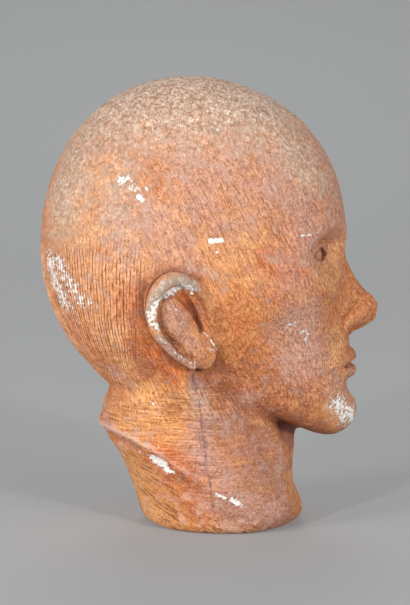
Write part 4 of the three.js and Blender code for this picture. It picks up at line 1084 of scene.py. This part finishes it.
# washes from the first to the last: paint, share, mark, noise, its weight, from, to, only where. The stain
# darkens what it runs over, and bare strokes lighten it, so both keep its hue
washes = dict(
    worn=("pale", 0.8, None, "clouds", 1, 0.2, 0.9, None),
    darker=("deep", 0.6, None, "patches", 1, 0.4, 0.95, None),
    rubbed=("pale", 0.5, None, "patches", 1, 0.45, 0, None),
    ochreWash=("ochre", 0.8, "ochre", "patches", 0.7, 0.3, 1.3, None),
    orangeWash=("orange", 0.9, "deep", "patches", 0.7, 0.2, 1.2, None),
    # dark brown paint, with painted shade under the jaw and round the ear
    brownAndShadeWash=("brown", 0.8, "brownAndShade", "patches", 0.7, 0.3, 1.3, None),
    recess=("orange", 0.5, "undercut", "blots", 0.5, 0.4, 1.2, None),
    mauveWash=("mauve", 0.72, "mauve", "patches", 0.7, 0.3, 1.35, None),
    roseFlecks=("rose", 0.45, None, "blots", 1, 0.5, 0.95, "mauve"),
    darkFlecks=("darkMauve", 0.4, None, "grain", 1, 0.5, 0.95, "mauve"),
    darkHairs=("stain", 0.75, None, "hairs", 1, 0.55, 0.85, "scalp"),
    paleHairs=("bare", 0.75, None, "hairs", 1, 0.42, 0.1, "scalp"),
    brushDark=("stain", 0.6, None, "brush", 1, 0.5, 0.8, "neck"),
    brushPale=("bare", 0.6, None, "brush", 1, 0.45, 0.15, "neck"),
    toolDark=("stain", 0.6, None, "strokes", 1, 0.52, 0.8, "skin"),
    toolPale=("bare", 0.55, None, "strokes", 1, 0.42, 0.1, "skin"),
    scratchLines=("brown", 0.8, None, "scratches", 1, 0.55, 0.8, "coneWall"),
    coneMottle=("bare", 0.8, None, "patches", 1, 0.45, 0.9, "coneWall"),
    deepGrain=("stain", 0.4, None, "grain", 1, 0.5, 1, None),
    darkTooth=("stain", 0.65, None, "tooth", 1, 0.5, 0.95, None),
    paleTooth=("bare", 0.65, None, "tooth", 1, 0.45, 0, None),
    # painted highlight along the ridges between the comb grooves
    ridgeHighlights=("bare", 1.0, None, "blots", 1, 0.2, 0.8, "between"),
    grooveLines=("groove", 0.95, None, "dashes", 1, 0.25, 0.7, "comb"),
    dusty=("dust", 0.85, "crown", "patches", 0.9, 0.4, 1.5, None),
    dustyBrown=("brownDust", 0.85, None, "blots", 1, 0.45, 0.75, "crown"),
    dustyPatches=("brownDust", 0.7, None, "patches", 1, 0.45, 0.9, "crown"),
    dustyDark=("darkDust", 0.85, None, "grain", 1, 0.5, 0.85, "crown"),
    dustyPale=("paleDust", 0.85, None, "grain", 1, 0.42, 0.1, "crown"),
    crownStrokes=("paleDust", 0.8, None, "hairs", 1, 0.6, 0.95, "crown"),
    paleLip=("rose", 0.8, "lip", "ragged", 0.9, 0.8, 1.6, None),
    # painted shade: darker in hollows and creases, the more closed in the surface is
    hollows=("hollow", 0.5, "hollow", "blots", 0.2, 0.3, 1.0, None),
    creases=("crease", 0.7, "crease", "blots", 0.2, 0.27, 0.8, None),
    pinholes=("speck", 0.45, None, "pits", 1, 0.93, 1.05, None),
    whiteGrains=("grain", 0.9, "specks", "dots", 1, 0.98, 1.12, None),
    greyDust=("greyDust", 0.8, "greyDust", "ragged", 0.9, 0.75, 1.4, None),
    greyFlecks=("grain", 0.5, None, "grain", 1, 0.5, 0.9, "greyDust"),
    # seam dirt, with painted shade in the throat, under the ear and in the ear's crease
    seamDirtAndShade=("seam", 0.6, "seamDirtAndShade", "ragged", 1.2, 0.9, 1.8, None),
    seamLine=("seam", 0.75, "seam", "ragged", 1.4, 1.2, 2.1, None),
    chips=("plaster", 1.0, "chip", "ragged", 1, 1.0, 1.14, None),
    chipShade=("plasterShade", 0.8, None, "grain", 1, 0.5, 1, "chips"),
    combedChips=("orange", 0.85, "hair", "comb", 1, 1.1, 1.6, "chips"))

# fine relief that the mesh is too coarse for: height in mm, only where
fineRelief = [
    ("grain", 0.2, None), ("tooth", 0.16, None), ("hairs", 0.2, "scalp"), ("brush", 0.14, "neck"),
    ("strokes", 0.14, "skin"), ("pinholes", -0.3, None), ("chips", -0.25, None), ("seamLine", -0.25, None),
    ("grooveLines", -0.35, None)]


def paintedPlaster():
    material = bpy.data.materials.new("paintedPlaster")
    material.use_nodes = True
    tree = material.node_tree
    tree.nodes.clear()
    place = node(tree, "ShaderNodeTexCoord").outputs["Object"]
    mark = {}
    for name in ("chip", "greyDust", "mauve", "deep", "ochre", "seam", "seamDirtAndShade", "combEven", "combOdd",
                 "combShare", "combLength", "hair", "scalp", "crease", "hollow", "neck", "skin", "crown",
                 "lip", "undercut", "specks", "brownAndShade", "coneWall"):
        mark[name] = node(tree, "ShaderNodeAttribute", {"attribute_name": name}).outputs["Fac"]

    noise = {}
    for name, (size, detail, rough) in noises.items():
        noise[name] = node(tree, "ShaderNodeTexNoise", {"noise_dimensions": "4D"}, {
            "Vector": place, "W": noiseApart * len(noise), "Scale": perMetre(size), "Detail": detail,
            "Roughness": rough}).outputs["Fac"]
    # brush lines run level round the neck, strokes of the modelling tool fall forward, and scratches follow
    # the neck's edge
    for name, (turn, size, length, deep) in strokes.items():
        stroke = node(tree, "ShaderNodeMapping", {"vector_type": "TEXTURE"}, {
            "Vector": place, "Rotation": (math.radians(turn), 0, 0), "Scale": (deep, 1, length)})
        noise[name] = node(tree, "ShaderNodeTexNoise", inputs={
            "Vector": stroke.outputs[0], "Scale": perMetre(size), **strokeNoise}).outputs["Fac"]

    # hairs and the breaks in the comb lines follow the combing
    lines = dict(comb=[], hairs=[], dashes=[])
    for name in ("combEven", "combOdd"):
        ping = node(tree, "ShaderNodeMath", {"operation": "PINGPONG"}, {0: mark[name], 1: 0.5}).outputs[0]
        lines["comb"].append(node(tree, "ShaderNodeMapRange", {"interpolation_type": "SMOOTHSTEP"}, {
            "Value": ping, "From Min": combGroove[0], "From Max": combGroove[1]}).outputs[0])
        for kind, (across, along) in combNoises.items():
            put = node(tree, "ShaderNodeCombineXYZ", inputs={"X": mark[name], "Y": mark["combLength"]})
            sized = node(tree, "ShaderNodeMapping", inputs={
                "Vector": put.outputs[0], "Scale": (across, 1 / along, 1)})
            lines[kind].append(node(tree, "ShaderNodeTexNoise", inputs={
                "Vector": sized.outputs[0], **combNoise}).outputs["Fac"])
    for kind, (even, odd) in lines.items():
        noise[kind] = node(tree, "ShaderNodeMix", inputs={0: mark["combShare"], 2: even, 3: odd}).outputs[0]
    for name in noise:
        if name != "comb":
            noise[name] = node(tree, "ShaderNodeMapRange", inputs={
                "Value": noise[name], "From Min": noiseSpan[0], "From Max": noiseSpan[1]}).outputs[0]
    # dark in the groove, and pale between, where the ridges get a painted highlight
    mark["comb"] = node(tree, "ShaderNodeMath", {"operation": "MULTIPLY"}, {
        0: noise["comb"], 1: mark["hair"]}).outputs[0]
    mark["between"] = node(tree, "ShaderNodeMath", {"operation": "SUBTRACT"}, {
        0: mark["hair"], 1: mark["comb"]}).outputs[0]

    colour = linear(paint["middle"])
    for name, (top, share, where, unevenness, weight, low, high, onlyWhere) in washes.items():
        value = node(tree, "ShaderNodeMath", {"operation": "MULTIPLY_ADD"}, {
            0: noise[unevenness], 1: weight, 2: mark[where] if where else 0.0}).outputs[0]
        mark[name] = node(tree, "ShaderNodeMapRange", {"interpolation_type": "SMOOTHSTEP"}, {
            "Value": value, "From Min": low, "From Max": high, "To Max": share}).outputs[0]
        if onlyWhere:
            mark[name] = node(tree, "ShaderNodeMath", {"operation": "MULTIPLY"}, {
                0: mark[name], 1: mark[onlyWhere]}).outputs[0]
        way = {"stain": "MULTIPLY", "bare": "ADD"}.get(top, "MIX")
        colour = node(tree, "ShaderNodeMix", {"data_type": "RGBA", "blend_type": way}, {
            0: mark[name], 6: colour, 7: linear(paint[top])}).outputs[2]

    height = 0.0
    for name, rise, onlyWhere in fineRelief:
        value = noise[name] if name in noise else mark[name]
        if onlyWhere:
            value = node(tree, "ShaderNodeMath", {"operation": "MULTIPLY"}, {
                0: value, 1: mark[onlyWhere]}).outputs[0]
        height = node(tree, "ShaderNodeMath", {"operation": "MULTIPLY_ADD"}, {
            0: value, 1: rise, 2: height}).outputs[0]
    bump = node(tree, "ShaderNodeBump", inputs={"Strength": 1.0, "Distance": mm, "Height": height})
    rough = node(tree, "ShaderNodeMix", inputs={
        0: mark["chips"], 2: paint["roughness"], 3: paint["chipRoughness"]})
    shader = node(tree, "ShaderNodeBsdfPrincipled", inputs={
        "Base Color": colour, "Roughness": rough.outputs[0], "IOR": paint["ior"],
        "Normal": bump.outputs[0]})
    node(tree, "ShaderNodeOutputMaterial", inputs={"Surface": shader.outputs[0]})
    return material


head = makeHead()
head.data.materials.append(paintedPlaster())
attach(head, "root")
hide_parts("head")
print("head dressed")


# A pale floor that curves up into the backdrop all round, open above. Its paper glows as painted light,
# most near the middle.
studio = dict(
    middle=0.05, flat=1.9, flatRings=6, radius=5.2, curveRings=16, rise=3.0, around=96, grey="#939495",
    roughness=0.95, specular=0.1, glow=(0.12, 0.04), glowEnds=(0.7, 3.6))


def addStudio():
    rows = [(r, 0.0) for r in np.linspace(studio["middle"], studio["flat"], studio["flatRings"])]
    span = studio["radius"] - studio["flat"]
    for step in range(1, studio["curveRings"] + 1):
        a = step / studio["curveRings"] * math.pi / 2
        rows.append((studio["flat"] + span * math.sin(a), span * (1 - math.cos(a))))
    rows.append((studio["radius"], span + studio["rise"]))
    n = studio["around"]
    turns = [2 * math.pi * k / n for k in range(n)]
    points = [(0, 0, 0)]
    for r, z in rows:
        points += [(r * math.cos(turn), r * math.sin(turn), z) for turn in turns]
    faces = [(0, 1 + k, 1 + (k + 1) % n) for k in range(n)]
    for row in range(len(rows) - 1):
        a, b = 1 + row * n, 1 + (row + 1) * n
        faces += [(a + k, b + k, b + (k + 1) % n, a + (k + 1) % n) for k in range(n)]
    data = bpy.data.meshes.new("studioFloor")
    data.from_pydata(points, [], faces)
    data.shade_smooth()
    floor = bpy.data.objects.new("studioFloor", data)
    bpy.context.scene.collection.objects.link(floor)
    material = bpy.data.materials.new("seamlessPaper")
    material.use_nodes = True
    tree = material.node_tree
    tree.nodes.clear()
    place = node(tree, "ShaderNodeTexCoord").outputs["Object"]
    away = node(tree, "ShaderNodeVectorMath", {"operation": "LENGTH"}, {0: place}).outputs["Value"]
    # painted light: the paper glows, brighter near the middle, as a pool of light on the floor and a soft
    # fill for the head
    glow = node(tree, "ShaderNodeMapRange", inputs={
        "Value": away, "From Min": studio["glowEnds"][0], "From Max": studio["glowEnds"][1],
        "To Min": studio["glow"][0], "To Max": studio["glow"][1]}).outputs[0]
    shader = node(tree, "ShaderNodeBsdfPrincipled", inputs={
        "Base Color": linear(studio["grey"]), "Roughness": studio["roughness"],
        "Specular IOR Level": studio["specular"],
        "Emission Color": linear("#FFFFFF"), "Emission Strength": glow})
    node(tree, "ShaderNodeOutputMaterial", inputs={"Surface": shader.outputs[0]})
    data.materials.append(material)


# soft boxes: place and aim in metres, size in metres, watts
lights = dict(
    keyLight=((-1.6, 2.3, 0.8), (0, 0, 0.12), 1.1, 50),
    fillLight=((-1.9, -1.9, 0.8), (0, 0, 0.14), 1.0, 24),
    backFlash=((-2.2, 1.32, 1.0), (0, 0, 0.12), 0.18, 26),
    faceFlash=((-2.2, -1.32, 1.0), (0, 0, 0.12), 0.18, 26),
    farLight=((3.0, 0.1, 2.2), (0, 0, 0.1), 2.0, 44))
room = dict(colour="#F4F4F4", strength=0.4)


def addLights():
    for name, (at, aim, size, watts) in lights.items():
        data = bpy.data.lights.new(name, "AREA")
        data.shape = "DISK"
        data.size = size
        data.energy = watts
        light = bpy.data.objects.new(name, data)
        light.location = at
        light.rotation_euler = (Vector(aim) - Vector(at)).to_track_quat("-Z", "Y").to_euler()
        bpy.context.scene.collection.objects.link(light)
    world = bpy.data.worlds.new("studio")
    world.use_nodes = True
    background = world.node_tree.nodes["Background"]
    background.inputs["Color"].default_value = linear(room["colour"])
    background.inputs["Strength"].default_value = room["strength"]
    bpy.context.scene.world = world
    bpy.context.scene.view_settings.view_transform = "Standard"


addStudio()
addLights()
print("studio set")
